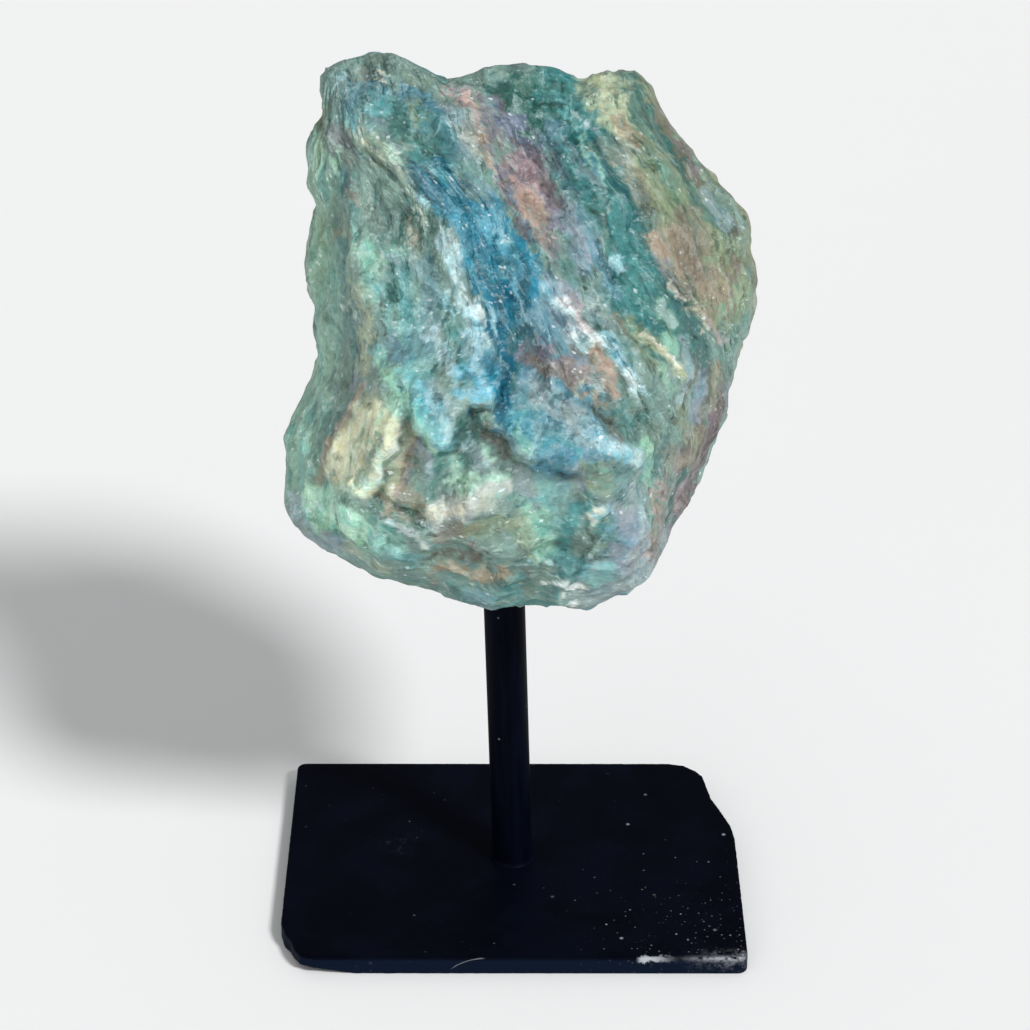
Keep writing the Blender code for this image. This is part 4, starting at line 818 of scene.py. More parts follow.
STROKES["upper middle"] = (
    ("bottle", 0.9, 1.9, -3.2, 35.8, 0.7, 35, 4.4, 32.6),
    ("pine", 0.8, 1.3, 0, 36.7, 3.6, 36.1, 7, 34.7),
    ("teal", 0.7, 1.3, 2.2, 34.7, 5.8, 33.2, 7.3, 30.6),
    ("bottle", 0.8, 1, 4.1, 32.8, 5.5, 30.6, 5.8, 28.8),
    ("aqua", 0.5, 0.7, 5.1, 34.2, 6.7, 31.8, 8, 29.4),
    ("steel", 0.8, 1.7, 5.8, 29.1, 8, 24.8, 10.2, 20.4),
    ("bottle", 1, 1, -2.9, 33.8, -0.7, 32.3, 2.9, 30.6),
    ("mauve", 0.6, 2, -3.2, 31.8, -1.2, 28.4, 1.5, 24.8),
    ("slate", 0.9, 1.7, -2.2, 30.9, 0, 29.1, 2.2, 26.2),
    ("lilac", 0.5, 0.7, -2, 30.6, -0.9, 28.4),
    ("slate", 0.5, 1.3, 3.6, 28.4, 5.8, 24, 8, 19.7),
    ("umber", 0.7, 0.6, -0.6, 27.7, -0.1, 25.6),
    ("mauve", 0.8, 1.7, 0.7, 26.2, 2.9, 22.6, 4.7, 18.2),
    ("rose", 1, 1.9, -0.6, 23.6, 0.7, 21.6, 1.6, 19.2),
    ("mauve", 0.6, 1, -1.2, 24.8, 0, 23.9, 1.5, 22.7),
    ("salmon", 0.8, 1.3, 0.9, 19.7, 1.9, 17.9, 2.6, 16),
    ("mauve", 0.8, 0.9, 3.6, 20.4, 4.7, 16.8, 5.2, 14.3),
    ("rose", 0.7, 0.9, 2.6, 16, 3.6, 13.8, 4.7, 11.9),
    ("mauve", 0.6, 0.7, 4.5, 12.4, 5.5, 10.8),
    ("umber", 0.3, 0.9, 2.9, 14.9, 4.7, 12.4),
    ("taupe", 0.3, 0.7, 3.8, 15.3, 4.4, 13.8),
    ("white", 0.6, 0.3, 6.4, 19.4, 6.7, 18.9),
    ("teal", 0.8, 1.7, 7, 26.2, 9, 21.1, 10.5, 16.8),
    ("lilac", 0.7, 1.9, 6.1, 16.8, 8, 13.1, 10.2, 9.5),
    ("steel", 0.7, 1.7, 8.7, 15.3, 10.9, 10.9, 13.1, 6.6),
    ("teal", 0.6, 1, 11.7, 18.2, 13.4, 13.8, 15.3, 9.5),
    ("moss", 0.6, 0.9, 11.9, 15.7, 13.1, 13.1),
    ("taupe", 0.4, 0.7, 11.4, 13.1, 12.5, 10.9),
    ("ice", 0.6, 1.3, 14, 10.5, 15.1, 9),
    ("bottle", 0.8, 0.4, 1.5, 35.3, 5.2, 32.9, 7.6, 29.1, 9.3, 25.3),
    ("bottle", 0.7, 0.4, -1.2, 35.8, 2.6, 34.7, 5.5, 33.5),
    ("pine", 0.7, 0.4, 5.2, 27.7, 7.6, 23.3, 9.9, 18.9, 11.7, 14.3),
    ("bottle", 0.6, 0.4, 7.6, 27.7, 9.9, 22.4, 11.9, 18.1, 14, 13.1, 16, 9),
    ("sea", 0.5, 0.6, 5.8, 30.9, 7.9, 26.2, 10.2, 21),
    ("fog", 0.5, 0.4, 6.7, 27.4, 9, 23, 11.1, 18.4, 13.1, 14.3),
    ("frost", 0.5, 0.3, 8.7, 27.7, 10.5, 23.9, 12.2, 20.4),
)
STROKES["vein"] = (
    ("rose", 0.8, 0.7, -10.5, 35.8, -9, 34.2, -7.6, 32),
    ("rose", 0.8, 0.9, -8.4, 34.7, -7.3, 32.3, -6.1, 29.4),
    ("salmon", 0.7, 0.9, -5.8, 27.7, -4.7, 26.2, -3.8, 24.8),
    ("salmon", 0.4, 0.6, -3.8, 25.1, -2.9, 22.6, -2, 20.7),
    ("slate", 0.9, 0.9, -2.6, 23.3, -1.3, 20.1, 0.3, 16.3, 1.7, 13.1),
    ("mauve", 0.7, 0.7, -6.1, 34.2, -4.7, 30.6, -3.5, 26.5),
    ("mauve", 0.7, 0.6, -2.9, 24, -1.7, 20.4, -0.3, 16.8),
    ("umber", 0.6, 0.7, -2.3, 21.8, -0.7, 17.5, 1.5, 13.1),
    ("fog", 0.4, 0.6, -9.9, 35, -5.8, 34.7, -2.9, 32.3),
)
STROKES["upper right"] = (
    ("straw", 0.8, 2.2, 10.5, 35.8, 12.5, 33.2, 14.3, 30),
    ("straw", 0.8, 1.2, 14.3, 35.3, 15.1, 32.9, 16, 30.6),
    ("lemon", 0.4, 1, 12.5, 36.1, 12.8, 34.2, 13.4, 32.3),
    ("tan", 0.8, 1.2, 14.6, 31.2, 15.4, 29.4, 16.6, 27.4),
    ("olive", 0.7, 1, 10.5, 36.7, 11.7, 34.7),
    ("fog", 0.8, 0.7, 8.2, 32.3, 9.3, 30.3, 10.6, 28.3),
    ("ice", 0.6, 0.4, 8.4, 31.8, 9.6, 29.6),
    ("pine", 0.7, 0.7, 11.4, 29.4, 12.2, 27.4, 13.4, 25.9),
    ("cream", 0.8, 0.9, 14.3, 28, 15.1, 26.2, 16.6, 23.6),
    ("moss", 0.9, 1.7, 16, 35.7, 18.2, 31.3, 20.7, 26.2),
    ("bottle", 0.5, 0.9, 16.6, 36.1, 18.9, 32, 21.6, 27.4, 23.6, 23.6, 26.2, 19.5),
    ("umber", 0.5, 0.7, 18.9, 34.1, 21.6, 30, 23.9, 25.3, 25.6, 21.3),
    ("olive", 0.5, 0.7, 16.9, 32, 18.2, 28.4),
    ("pine", 0.6, 0.7, 16.3, 34.2, 17.5, 29.9, 19.2, 26.5),
    ("pine", 0.6, 0.7, 20.4, 29.9, 22.1, 26.2, 23.6, 23),
    ("moss", 0.6, 1.2, 15.3, 26.2, 18.9, 24, 21.6, 21.1),
    ("umber", 0.5, 0.9, 23.3, 26.2, 24.8, 23.3, 25.8, 21),
    ("umber", 0.3, 0.6, 17.5, 36.7, 19.7, 33.5, 21.6, 30.6),
    ("umber", 0.6, 0.7, 21, 32.9, 23.6, 28, 25.9, 23.3),
    ("mauve", 0.6, 0.6, 22.7, 29.4, 25.1, 25.1, 27.1, 21),
    ("bottle", 0.7, 0.6, 18.4, 33.8, 20.7, 29.4, 22.7, 25.3, 24.8, 21.8),
    ("pine", 0.6, 0.4, 19.5, 27.7, 21.6, 24.8, 23.9, 21.8, 26.2, 18.9),
    ("umber", 0.5, 0.7, 28.6, 18.4, 30.6, 15.4, 31.8, 12.5),
    ("taupe", 0.4, 1.5, 11.7, 25.9, 15.3, 24.8, 17.5, 21.8),
    ("cream", 0.4, 0.4, 10.2, 25.9, 12.4, 24.5, 14.6, 23.9),
    ("olive", 0.8, 2, 17.5, 22.6, 20.4, 18.2, 23.3, 15.3),
    ("taupe", 0.5, 1.5, 16.3, 21.8, 17.8, 18.2, 19.7, 15.3),
    ("fog", 0.8, 1.6, 27.1, 19.2, 28.8, 17.2, 30.3, 15.1),
    ("pine", 0.6, 0.7, 25.6, 18.2, 27.7, 15.3, 30.6, 13.4),
    ("pine", 0.5, 0.6, 23.6, 21.1, 25.5, 18.2, 28, 15.7),
    ("taupe", 0.6, 1.5, 24.8, 16.8, 26.2, 13.8),
    ("umber", 0.3, 1.2, 23.9, 17.2, 25.3, 14.3),
)
STROKES["brown right"] = (
    ("tan", 1, 2.9, 21.1, 13.8, 24.8, 10.2, 28, 7.3),
    ("salmon", 0.4, 0.9, 19.2, 14.3, 20.8, 11.7, 21.8, 9.9),
    ("bottle", 0.5, 0.7, 17.5, 16.6, 18.9, 13.7),
    ("olive", 0.6, 1.2, 28, 13.1, 29.4, 9.9, 28.7, 7.3),
    ("umber", 0.3, 1.2, 22.1, 12.5, 24.8, 9.3, 26.8, 5.8),
    ("taupe", 0.5, 1.2, 23.9, 13.1, 26.2, 9.9, 28, 6.7),
    ("mauve", 0.5, 0.7, 20.4, 9.9, 22.7, 7, 25.3, 3.8),
    ("taupe", 0.6, 1.2, 27.1, 9.9, 28.6, 6.4, 29.4, 3.8),
    ("taupe", 0.6, 1, 23.3, 15.3, 26.2, 11.7),
    ("umber", 0.35, 0.9, 22.7, 14.9, 24.2, 11.9, 25.6, 9.9),
    ("salmon", 0.4, 0.9, 23, 8.7, 25.5, 6.6, 27.4, 4.4),
    ("umber", 0.4, 0.6, 22.1, 8.4, 24.8, 5.8, 26.9, 3.2),
    ("cream", 0.6, 0.4, 21.1, 8, 24, 5.1, 26.9, 1.7, 28.4, -0.7),
    ("umber", 0.6, 0.6, 30.3, 10.9, 30.9, 6.6, 30.3, 2.2),
    ("tan", 0.5, 0.7, 29.4, 6.6, 29.1, 2.9),
    ("mauve", 0.4, 0.6, 31.3, 8.7, 31.6, 4.4),
)
# Painted shade: dark green streaks in the crevice below the right layer's step.
STROKES["shaded crevices"] = (
    ("bottle", 0.7, 1, 10.8, 25.9, 12.8, 23, 14.9, 19.5, 16.6, 16.3),
    ("ink", 0.7, 0.4, 11.7, 24.8, 13.7, 21.3, 15.7, 17.8, 16.9, 15.1),
    ("sea", 0.6, 0.7, 12.5, 21.6, 14.3, 18.4, 15.7, 14.6),
    ("ink", 0.8, 0.4, 16, 17.2, 17.6, 13.7, 19.4, 10.2, 21.6, 6.7),
    ("bottle", 0.5, 0.6, 16.6, 16.6, 18.6, 11.9, 21, 7.6),
    ("sea", 0.8, 0.9, 16, 14.9, 17.5, 10.9, 19.7, 7, 21.8, 4.4),
    ("teal", 0.5, 0.9, 15.3, 16.8, 17.5, 11.7, 19.7, 6.6),
    ("fog", 0.5, 0.4, 9.5, 23, 11.7, 20.1, 12.8, 18.6),
    ("fog", 0.3, 0.4, 15.7, 21.1, 16.6, 18.9),
)

# The back's streaks, in places on the plane as seen from the front
BACK_STROKES = (
    ("teal", 0.8, 7, -12, 36, -6, 20, 2, 4, 8, -12, 12, -26),
    ("steel", 0.8, 6, -20, 30, -14, 12, -8, -6, -6, -24),
    ("sage", 0.7, 6, -26, 20, -24, 0, -26, -20),
    ("mauve", 0.7, 3, 4, 36, 9, 20, 14, 6, 18, -10),
    ("aqua", 0.7, 4, -2, 16, 0, 4, 4, -8),
    ("blue", 0.7, 2.6, -6, 24, -2, 12, 0, -2, 6, -14),
    ("ink", 0.6, 1, -4, 26, 0, 12, 2, 0),
    ("olive", 0.7, 5, 20, 24, 25, 8, 28, -6),
    ("tan", 0.7, 3, 16, 18, 20, 8, 24, -4),
    ("cream", 0.6, 1.2, 12, 22, 17, 10, 21, -4),
    ("mint", 0.6, 5, -18, -10, -16, -22, -12, -32),
    ("straw", 0.6, 3, -24, 4, -22, -8, -20, -16),
    ("pine", 0.6, 3, 14, -14, 18, -24),
    ("lilac", 0.5, 3, 2, -20, 6, -32),
    ("rose", 0.6, 1.4, -10, 30, -6, 18, -4, 8),
    ("ice", 0.6, 2, -14, 2, -10, -6, -8, -14),
    ("fog", 0.6, 6, 10, 30, 6, 34, -2, 36),
    ("umber", 0.4, 2, 22, 0, 24, -12),
    ("sky", 0.5, 2, 6, 8, 8, -2),
    ("taupe", 0.6, 3, -8, -30, 2, -36),
)


def smooth(low, high, x):
    """0 below low, 1 above high, and a smooth rise between."""
    share = np.clip((x - low) / (high - low), 0, 1)
    return share * share * (3 - 2 * share)


def hashed(cell, seed):
    """Three numbers from -1 to 1 for each whole-numbered cell, the same ones each time."""
    mixed = np.full(len(cell), (seed * HASH_MIX) & 0xFFFFFFFF, np.uint32)
    for axis, factor in enumerate(HASH_FACTORS):
        mixed += cell[:, axis] * np.uint32(factor)
    mixed ^= mixed >> np.uint32(13)
    mixed *= np.uint32(HASH_MIX)
    mixed ^= mixed >> np.uint32(16)
    numbers = []
    for _ in range(3):
        mixed = mixed * np.uint32(HASH_STEP) + np.uint32(HASH_ADD)
        numbers.append((mixed ^ (mixed >> np.uint32(15))) / HASH_HALF - 1.0)
    return np.stack(numbers, 1)


def cells_of(points):
    """The whole-numbered cell that holds each point, and the place of the point in it."""
    low = np.floor(points)
    return low.astype(np.int64).astype(np.uint32), points - low


def noise(points, seed):
    """Smooth noise from about -1 to 1: random slopes on a grid, blended by 6x^5 - 15x^4 + 10x^3."""
    cell, inside = cells_of(points)
    blend = inside**3 * (inside * (inside * 6 - 15) + 10)
    total = np.zeros(len(points))
    for corner in np.ndindex(2, 2, 2):
        slope = hashed(cell + np.array(corner, np.uint32), seed)
        weight = np.where(np.array(corner) == 1, blend, 1 - blend).prod(1)
        total += weight * ((inside - corner) * slope).sum(1)
    return total * NOISE_GAIN


def rough(points, seed, octaves=3):
    """Noise on noise, each layer half as large and half as high."""
    return sum(noise(points * 2.0**k, seed + k) * 0.5**k for k in range(octaves))


def rough_vectors(points, seeds, octaves=3):
    """Rough noise for each seed, side by side."""
    return np.stack([rough(points, seed, octaves) for seed in seeds], 1)


def broken(points, seed):
    """The lowest of many tilted planes, one to a cell: flat faces that meet in sharp edges."""
    cell, inside = cells_of(points)
    lowest = np.full(len(points), np.inf)
    for step in np.ndindex(3, 3, 3):
        offset = np.array(step) - 1
        near = cell + offset.astype(np.int64).astype(np.uint32)
        away = inside - offset - 0.5 - PLANE_SCATTER * hashed(near, seed)
        slope = hashed(near, seed + 101)
        rise = hashed(near, seed + 202)[:, 0]
        past = np.maximum(np.linalg.norm(away, axis=1) - PLANE_ROOM, 0)
        plane = PLANE_RISE * rise + PLANE_SLOPE * (away * slope).sum(1) + PLANE_END * past**2
        lowest = np.minimum(lowest, plane)
    return lowest


def on_sight_lines(across, up, near):
    """The points in space for places on the plane and distances towards the eye."""
    ray = (
        SIGHT_AHEAD * PLANE_AHEAD
        + SIGHT_RIGHT * (across + PLANE_RIGHT)[:, None]
        + SIGHT_UP * (up + PLANE_UP)[:, None]
    )
    return EYE + ray * (1 - near / PLANE_AHEAD)[:, None]


def outline_reach(angle):
    """How far the outline lies from the plane's middle in each direction."""
    turn = np.arctan2(STONE_OUTLINE[:, 1], STONE_OUTLINE[:, 0]) % (2 * pi)
    order = np.argsort(turn)
    corners = STONE_OUTLINE[order]
    first = np.searchsorted(turn[order], angle % (2 * pi), side="right") - 1
    start = corners[first]
    side = corners[(first + 1) % len(corners)] - start
    crossed = start[:, 0] * side[:, 1] - start[:, 1] * side[:, 0]
    return crossed / (np.cos(angle) * side[:, 1] - np.sin(angle) * side[:, 0])


def lowest_face(faces, across, up):
    """The nearest of the planes at each place, with rounded edges where two meet."""
    heights = np.array([
        height + slope_across * (across - place[0]) + slope_up * (up - place[1])
        for place, height, slope_across, slope_up in faces
    ])
    low = heights.min(0)
    return low - FACE_BLEND * np.log(np.exp((low - heights) / FACE_BLEND).sum(0))


def at_least(floor, x):
    """x where it is well above floor, else floor, and a soft bend between."""
    return floor + LEAST_BLEND * np.logaddexp(0, (x - floor) / LEAST_BLEND)


def widest_near(angle):
    """How far in front of the plane the stone is widest, round its outline."""
    waves = (height * np.sin(times * angle + start) for times, height, start in WIDEST_WAVES)
    return WIDEST_MEAN + sum(waves)


def line_field(across, up, line):
    """Distance to a bent line, 1 on its left or -1 on its right, and the share of its length passed."""
    line = np.array(line)
    sides = np.diff(line, axis=0)
    lengths = np.linalg.norm(sides, axis=1)
    starts = np.concatenate(([0], np.cumsum(lengths)))
    distance = np.full(len(across), np.inf)
    left = np.ones(len(across))
    passed = np.zeros(len(across))
    for start, side, length, before in zip(line, sides, lengths, starts):
        x = across - start[0]
        y = up - start[1]
        share = np.clip((x * side[0] + y * side[1]) / length**2, 0, 1)
        x = x - share * side[0]
        y = y - share * side[1]
        here = np.hypot(x, y)
        nearer = here < distance
        distance = np.where(nearer, here, distance)
        left = np.where(nearer & (side[0] * y < side[1] * x), -1, np.where(nearer, 1, left))
        passed = np.where(nearer, (before + share * length) / starts[-1], passed)
    return distance, left, passed


def faded_ends(passed):
    """1 along a line, with a smooth fall to 0 at either end."""
    return smooth(0, LINE_FADE, passed) * smooth(0, LINE_FADE, 1 - passed)


def relief_of(across, up, steps, ridges, swellings):
    """The height of one side's steps, ridges, lumps and hollows.

    A step is half its drop * tanh(distance / edge) on either side of its line, easing back with distance. A
    ridge falls off straight from its line, to a power, and a swelling is a bowl, (1 - x^2 - y^2)^2.
    """
    place = np.stack((across, up, np.zeros(len(across))), 1) / LINE_WANDER_SIZE
    across = across + LINE_WANDER * rough(place, seed=11)
    up = up + LINE_WANDER * rough(place, seed=23)
    height = np.zeros(len(across))
    for drop, edge, low_reach, high_reach, low_side, line in steps.values():
        distance, left, passed = line_field(across, up, line)
        towards_low = distance * left * low_side
        reach = np.where(towards_low > 0, low_reach, high_reach)
        step = np.tanh(towards_low / edge) * np.exp(-distance / reach)
        height -= 0.5 * drop * step * faded_ends(passed)
    for rise, left_half, right_half, line in ridges.values():
        distance, left, passed = line_field(across, up, line)
        flank = np.clip(1 - distance / np.where(left > 0, left_half, right_half), 0, 1)
        height += rise * flank**RIDGE_SHARPNESS * faded_ends(passed)
    for place, half_length, half_width, turn, rise in swellings.values():
        x = across - place[0]
        y = up - place[1]
        along = (x * cos(turn) + y * sin(turn)) / half_length
        aside = (y * cos(turn) - x * sin(turn)) / half_width
        height += rise * np.clip(1 - along**2 - aside**2, 0, 1) ** 2
    return height


def both_reliefs(across, up, side):
    """The front's relief where side is above 0, and the back's, turned round, where it is below."""
    front = relief_of(across, up, STEPS, RIDGES, SWELLINGS) * smooth(*FRONT_EDGE, side)
    back = relief_of(across, up, BACK_STEPS, BACK_RIDGES, BACK_SWELLINGS) * smooth(*FRONT_EDGE, -side)
    return front - back


def sheet_number(across, up, near):
    """Which sheet of the stone a place is in: a number that grows smoothly from left to right."""
    lines = [np.interp(up, *zip(*line)) for line in SHEET_LINES]
    number = (across - lines[0]) / (lines[1] - lines[0])
    for k in range(1, len(lines) - 1):
        inside = k + (across - lines[k]) / (lines[k + 1] - lines[k])
        number = np.where(across > lines[k], inside, number)
    return np.clip(number, -1, len(lines)) + SHEET_DIP * near


def stone_shell(direction):
    """The smooth stone before it is broken: a place, a distance near, and how far in from the rim it is.

    A direction's share out, across the plane, and its share inward, square to it, are scaled to the curve
    out^n + inward^n = 1, with n for how full the stone is. The point then lies out * the outline's reach from
    the plane's middle, and inward * the depth of the big faces from the stone's widest line.
    """
    angle = np.arctan2(direction[:, 1], direction[:, 0])
    flat = np.hypot(direction[:, 0], direction[:, 1])
    deep = np.abs(direction[:, 2])
    in_front = direction[:, 2] >= 0
    fullness = np.where(in_front, FRONT_FULLNESS, BACK_FULLNESS)
    scale = (flat**fullness + deep**fullness) ** (-1 / fullness)
    out = flat * scale
    inward = deep * scale
    reach = sum(outline_reach(angle + step * OUTLINE_BLUR) for step in BLUR_STEPS) / len(BLUR_STEPS)
    across = out * reach * np.cos(angle)
    up = out * reach * np.sin(angle)
    rim = widest_near(angle)
    front = at_least(LEAST_HALF, lowest_face(FRONT_FACES, across, up) - rim)
    back = at_least(LEAST_HALF, lowest_face(BACK_FACES, across, up) + rim)
    near = rim + np.where(in_front, front, -back) * inward
    return across, up, near, inward


def grain_of(across, up, near):
    """A place in the stone's own grain: across its sheets, down them, and into them."""
    return np.stack((sheet_number(across, up, near) * SHEET_WIDTH, -up, near), 1)


def rim_calm(inward):
    """How much of the breaks' height is left: less near the stone's outline."""
    return 1 - RIM_CALM * np.exp(-((inward / RIM_BAND) ** 2))


def wander_of(points):
    """Slow shifts that keep the broken cells off straight rows."""
    return rough_vectors(points / WANDER_SIZE, (41, 43, 47))


def breaks(points, across, up, near, inward):
    """How far each point stands out along its normal: big broken faces, sheet edges, then small ones.

    A sheet edge is a sawtooth of the sheet number: a slow rise, then a quick drop.
    """
    sheet = sheet_number(across, up, near)
    grain = grain_of(across, up, near)
    wander = wander_of(points)
    height = BIG_BREAK_DEPTH * broken((points + BIG_WANDER * wander) / BIG_BREAK_CELL, seed=5)
    along = np.stack((sheet, -up / LAYER_SIZE, near / LAYER_SIZE), 1)
    layer = sheet * SHEET_STEPS_PER_SHEET
    layer += LAYER_WAVE * rough(points / LAYER_SIZE, seed=31) + LAYER_RAG * noise(along, seed=7)
    share = layer - np.floor(layer)
    rise = np.where(share < STEP_RISE_SHARE, share / STEP_RISE_SHARE, (1 - share) / (1 - STEP_RISE_SHARE))
    height += SHEET_STEP * (rise - 0.5) * smooth(*STEP_PATCH, noise(points / STEP_PATCH_SIZE, seed=77))
    height += SMALL_BREAK_DEPTH * broken(grain / SMALL_BREAK_CELL + SMALL_WANDER * wander, seed=9)
    return (height + MEAN_SINK) * rim_calm(inward)


def fine_breaks(points, across, up, near, inward):
    """The solid's breaks, with chips, splinters, thin leaves and grit on top of them.

    The leaves rise and fall evenly across the sheets, one to each LEAF_WIDTH, where noise lets them.
    """
    grain = grain_of(across, up, near)
    wander = CHIP_WANDER * wander_of(points)
    height = CHIP_DEPTH * (broken(grain / CHIP_CELL + wander, seed=57) + MEAN_SINK)
    height += FINE_BREAK_DEPTH * (broken(grain / FINE_BREAK_CELL + wander, seed=19) + MEAN_SINK)
    leaf = grain[:, 0] / LEAF_WIDTH + LEAF_RAG * rough(grain / LEAF_WANDER, seed=91)
    share = np.abs(leaf - np.floor(leaf) - 0.5) * 2
    height += LEAF_DEPTH * (share - 0.5) * smooth(*LEAF_PATCH, noise(points / LEAF_PATCH_SIZE, seed=67))
    height += GRIT_DEPTH * rough(grain / GRIT_CELL, seed=3)
    return breaks(points, across, up, near, inward) + height * rim_calm(inward)


def flow_of(across, up, points):
    """How far the stone breaks in long blades, 1, rather than in short chips, 0."""
    wander = FLOW_WANDER * rough(points / FLOW_WANDER_SIZE, seed=151)
    return smooth(*FLOW_EDGE, up + FLOW_SLANT * np.maximum(across, 0) + wander)


def unit(vectors):
    """The vectors, each made 1 long."""
    return vectors / np.linalg.norm(vectors, axis=1, keepdims=True)


def six_grids(steps):
    """Directions all round and the quads between them, from six square grids of u and v.

    There is a grid for each side of a cube. Its directions are the side's axis + tan(u) * the next axis +
    tan(v) * the one after, with u and v from -45 to 45 degrees. Directions that two grids share are made one.
    """
    spread = np.tan(np.linspace(-pi / 4, pi / 4, steps + 1))
    u, v = (part.ravel() for part in np.meshgrid(spread, spread, indexing="ij"))
    corner = np.arange((steps + 1) ** 2).reshape(steps + 1, steps + 1)
    quads = np.stack((corner[:-1, :-1], corner[1:, :-1], corner[1:, 1:], corner[:-1, 1:]), -1)
    quads = quads.reshape(-1, 4)
    directions = []
    faces = []
    for axis in range(3):
        for side in (-1, 1):
            direction = np.empty((len(u), 3))
            direction[:, axis] = side
            direction[:, (axis + 1) % 3] = side * u
            direction[:, (axis + 2) % 3] = v
            faces.append(quads + len(directions) * len(u))
            directions.append(direction)
    directions = np.concatenate(directions)
    _, first, number = np.unique(np.round(directions, 6), axis=0, return_index=True, return_inverse=True)
    return unit(directions[first]), number.ravel()[np.concatenate(faces)]


def normals_of(points, quads):
    """The way each point of a closed surface faces: the sum of the normals of its quads."""
    turned = np.cross(points[quads[:, 2]] - points[quads[:, 0]], points[quads[:, 3]] - points[quads[:, 1]])
    corners = quads.T.ravel()
    total = [np.bincount(corners, np.tile(turned[:, k], 4), len(points)) for k in range(3)]
    return unit(np.stack(total, 1))


def evened(points, quads, rounds):
    """The points, each moved to the middle of its neighbours, several times over."""
    start = quads.ravel()
    end = np.roll(quads, -1, axis=1).ravel()
    count = np.bincount(start, minlength=len(points))
    for _ in range(rounds):
        total = [np.bincount(start, points[end, k], len(points)) for k in range(3)]
        points = np.stack(total, 1) / count[:, None]
    return points


def linear(colour):
    """A colour out of 255, as amounts of light, by the standard curve of screens."""
    share = np.array(colour) / 255
    return np.where(share <= 0.04045, share / 12.92, ((share + 0.055) / 1.055) ** 2.4)


def lay_streaks(tint, across, up, streaks, seed):
    """Lays streaks over the tint, each strong along its line and ragged at its sides.

    A streak's cover falls smoothly from its strength, at half its half width, to nothing at 1.2 times it.
    """
    for number, (name, strength, half_width, *places) in enumerate(streaks):
        line = np.reshape(places, (-1, 2))
        reach = STREAK_REACH * half_width
        left, low = np.min(line, axis=0) - reach
        right, high = np.max(line, axis=0) + reach
        close = np.flatnonzero((across > left) & (across < right) & (up > low) & (up < high))
        x = across[close]
        y = up[close]
        place = np.stack((x / STREAK_RAG_SIZE + STREAK_APART * number, y / STREAK_RAG_SIZE, 0 * x), 1)
        rag = STREAK_RAG * noise(place, seed + number)
        cover = strength * (1 - smooth(*STREAK_FADE, line_field(x, y, line)[0] / half_width + rag))
        tint[close] += (linear(PALETTE[name]) - tint[close]) * cover[:, None]


def stone_tint(direction, across, up, near, points):
    """Each point's colour: bands by sheet with streaks on the back, and the front's own streaks.

    Whole chips take their colour from a place a little to one side, so that colours meet in chips.
    """
    grain = grain_of(across, up, near)
    share = smooth(*FRONT_TINT, direction[:, 2])[:, None]
    sheet = sheet_number(across, up, near) + BAND_WANDER * rough(points / BAND_WANDER_SIZE, seed=61)
    bands = np.array([linear(PALETTE[name]) for name in BAND_COLOURS])
    where = np.linspace(0, len(SHEET_LINES), len(bands))
    back = np.stack([np.interp(sheet, where, bands[:, k]) for k in range(3)], 1)
    front = np.tile(linear(PALETTE[BASE_COLOUR]), (len(across), 1))
    place = np.stack((across, up, 0 * up), 1) / STREAK_WANDER_SIZE
    shift = STREAK_WANDER * rough_vectors(place, (101, 131), octaves=4)
    for size, reach, seed in TINT_SHIFTS:
        rag = CHIP_RAG * rough_vectors(points / CHIP_RAG_SIZE, (seed, seed + 1, seed + 2))
        shift += reach * hashed(cells_of(grain / size + rag)[0], seed)[:, :2]
    lay_streaks(back, across + shift[:, 0], up + shift[:, 1], BACK_STROKES, seed=500)
    for number, (region, streaks) in enumerate(STROKES.items()):
        part = CRISP.get(region, 1.0) * shift
        lay_streaks(front, across + part[:, 0], up + part[:, 1], streaks, seed=30 * number)
    return back + (front - back) * share


def make_surface(name, points, *groups):
    """A mesh object from points in millimetres and groups of faces of like corners."""
    corners = np.concatenate([group.ravel() for group in groups])
    sizes = np.concatenate([np.full(len(group), group.shape[1]) for group in groups])
    mesh = bpy.data.meshes.new(name)
    mesh.vertices.add(len(points))
    mesh.vertices.foreach_set("co", (points * MM).ravel())
    mesh.loops.add(len(corners))
    mesh.loops.foreach_set("vertex_index", corners)
    mesh.polygons.add(len(sizes))
    mesh.polygons.foreach_set("loop_start", np.cumsum(sizes) - sizes)
    mesh.polygons.foreach_set("use_smooth", np.ones(len(sizes), bool))
    mesh.update(calc_edges=True)
    if mesh.validate():
        raise ValueError(name + " has faulty faces")
    obj = bpy.data.objects.new(name, mesh)
    bpy.context.scene.collection.objects.link(obj)
    return obj


def add_field(obj, name, kind, values_name, values):
    """Keeps values at the mesh's points, for the finish to read."""
    field = obj.data.attributes.new(name, kind, "POINT")
    field.data.foreach_set(values_name, values.ravel())


def make_rings(name, rings, first, last):
    """A closed surface through rings of points, given row by row, with a point at either end.

    Row 0 is at the first point. Seen from outside with the first point on top, a ring runs to the right.
    """
    rows, steps = rings.shape[:2]
    corner = np.arange(rows * steps).reshape(rows, steps)
    after = np.roll(corner, -1, axis=1)
    quads = np.stack((corner[1:], after[1:], after[:-1], corner[:-1]), -1).reshape(-1, 4)
    top = np.stack((corner[0], after[0], np.full(steps, rows * steps)), 1)
    bottom = np.stack((after[-1], corner[-1], np.full(steps, rows * steps + 1)), 1)
    points = np.concatenate((rings.reshape(-1, 3), [first], [last]))
    return make_surface(name, points, quads, np.concatenate((top, bottom)))


def stand_in(obj, node, material):
    """Shows the piece, with its finish, in place of its solid."""
    obj.data.materials.append(material)
    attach(obj, "root")
    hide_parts(node)


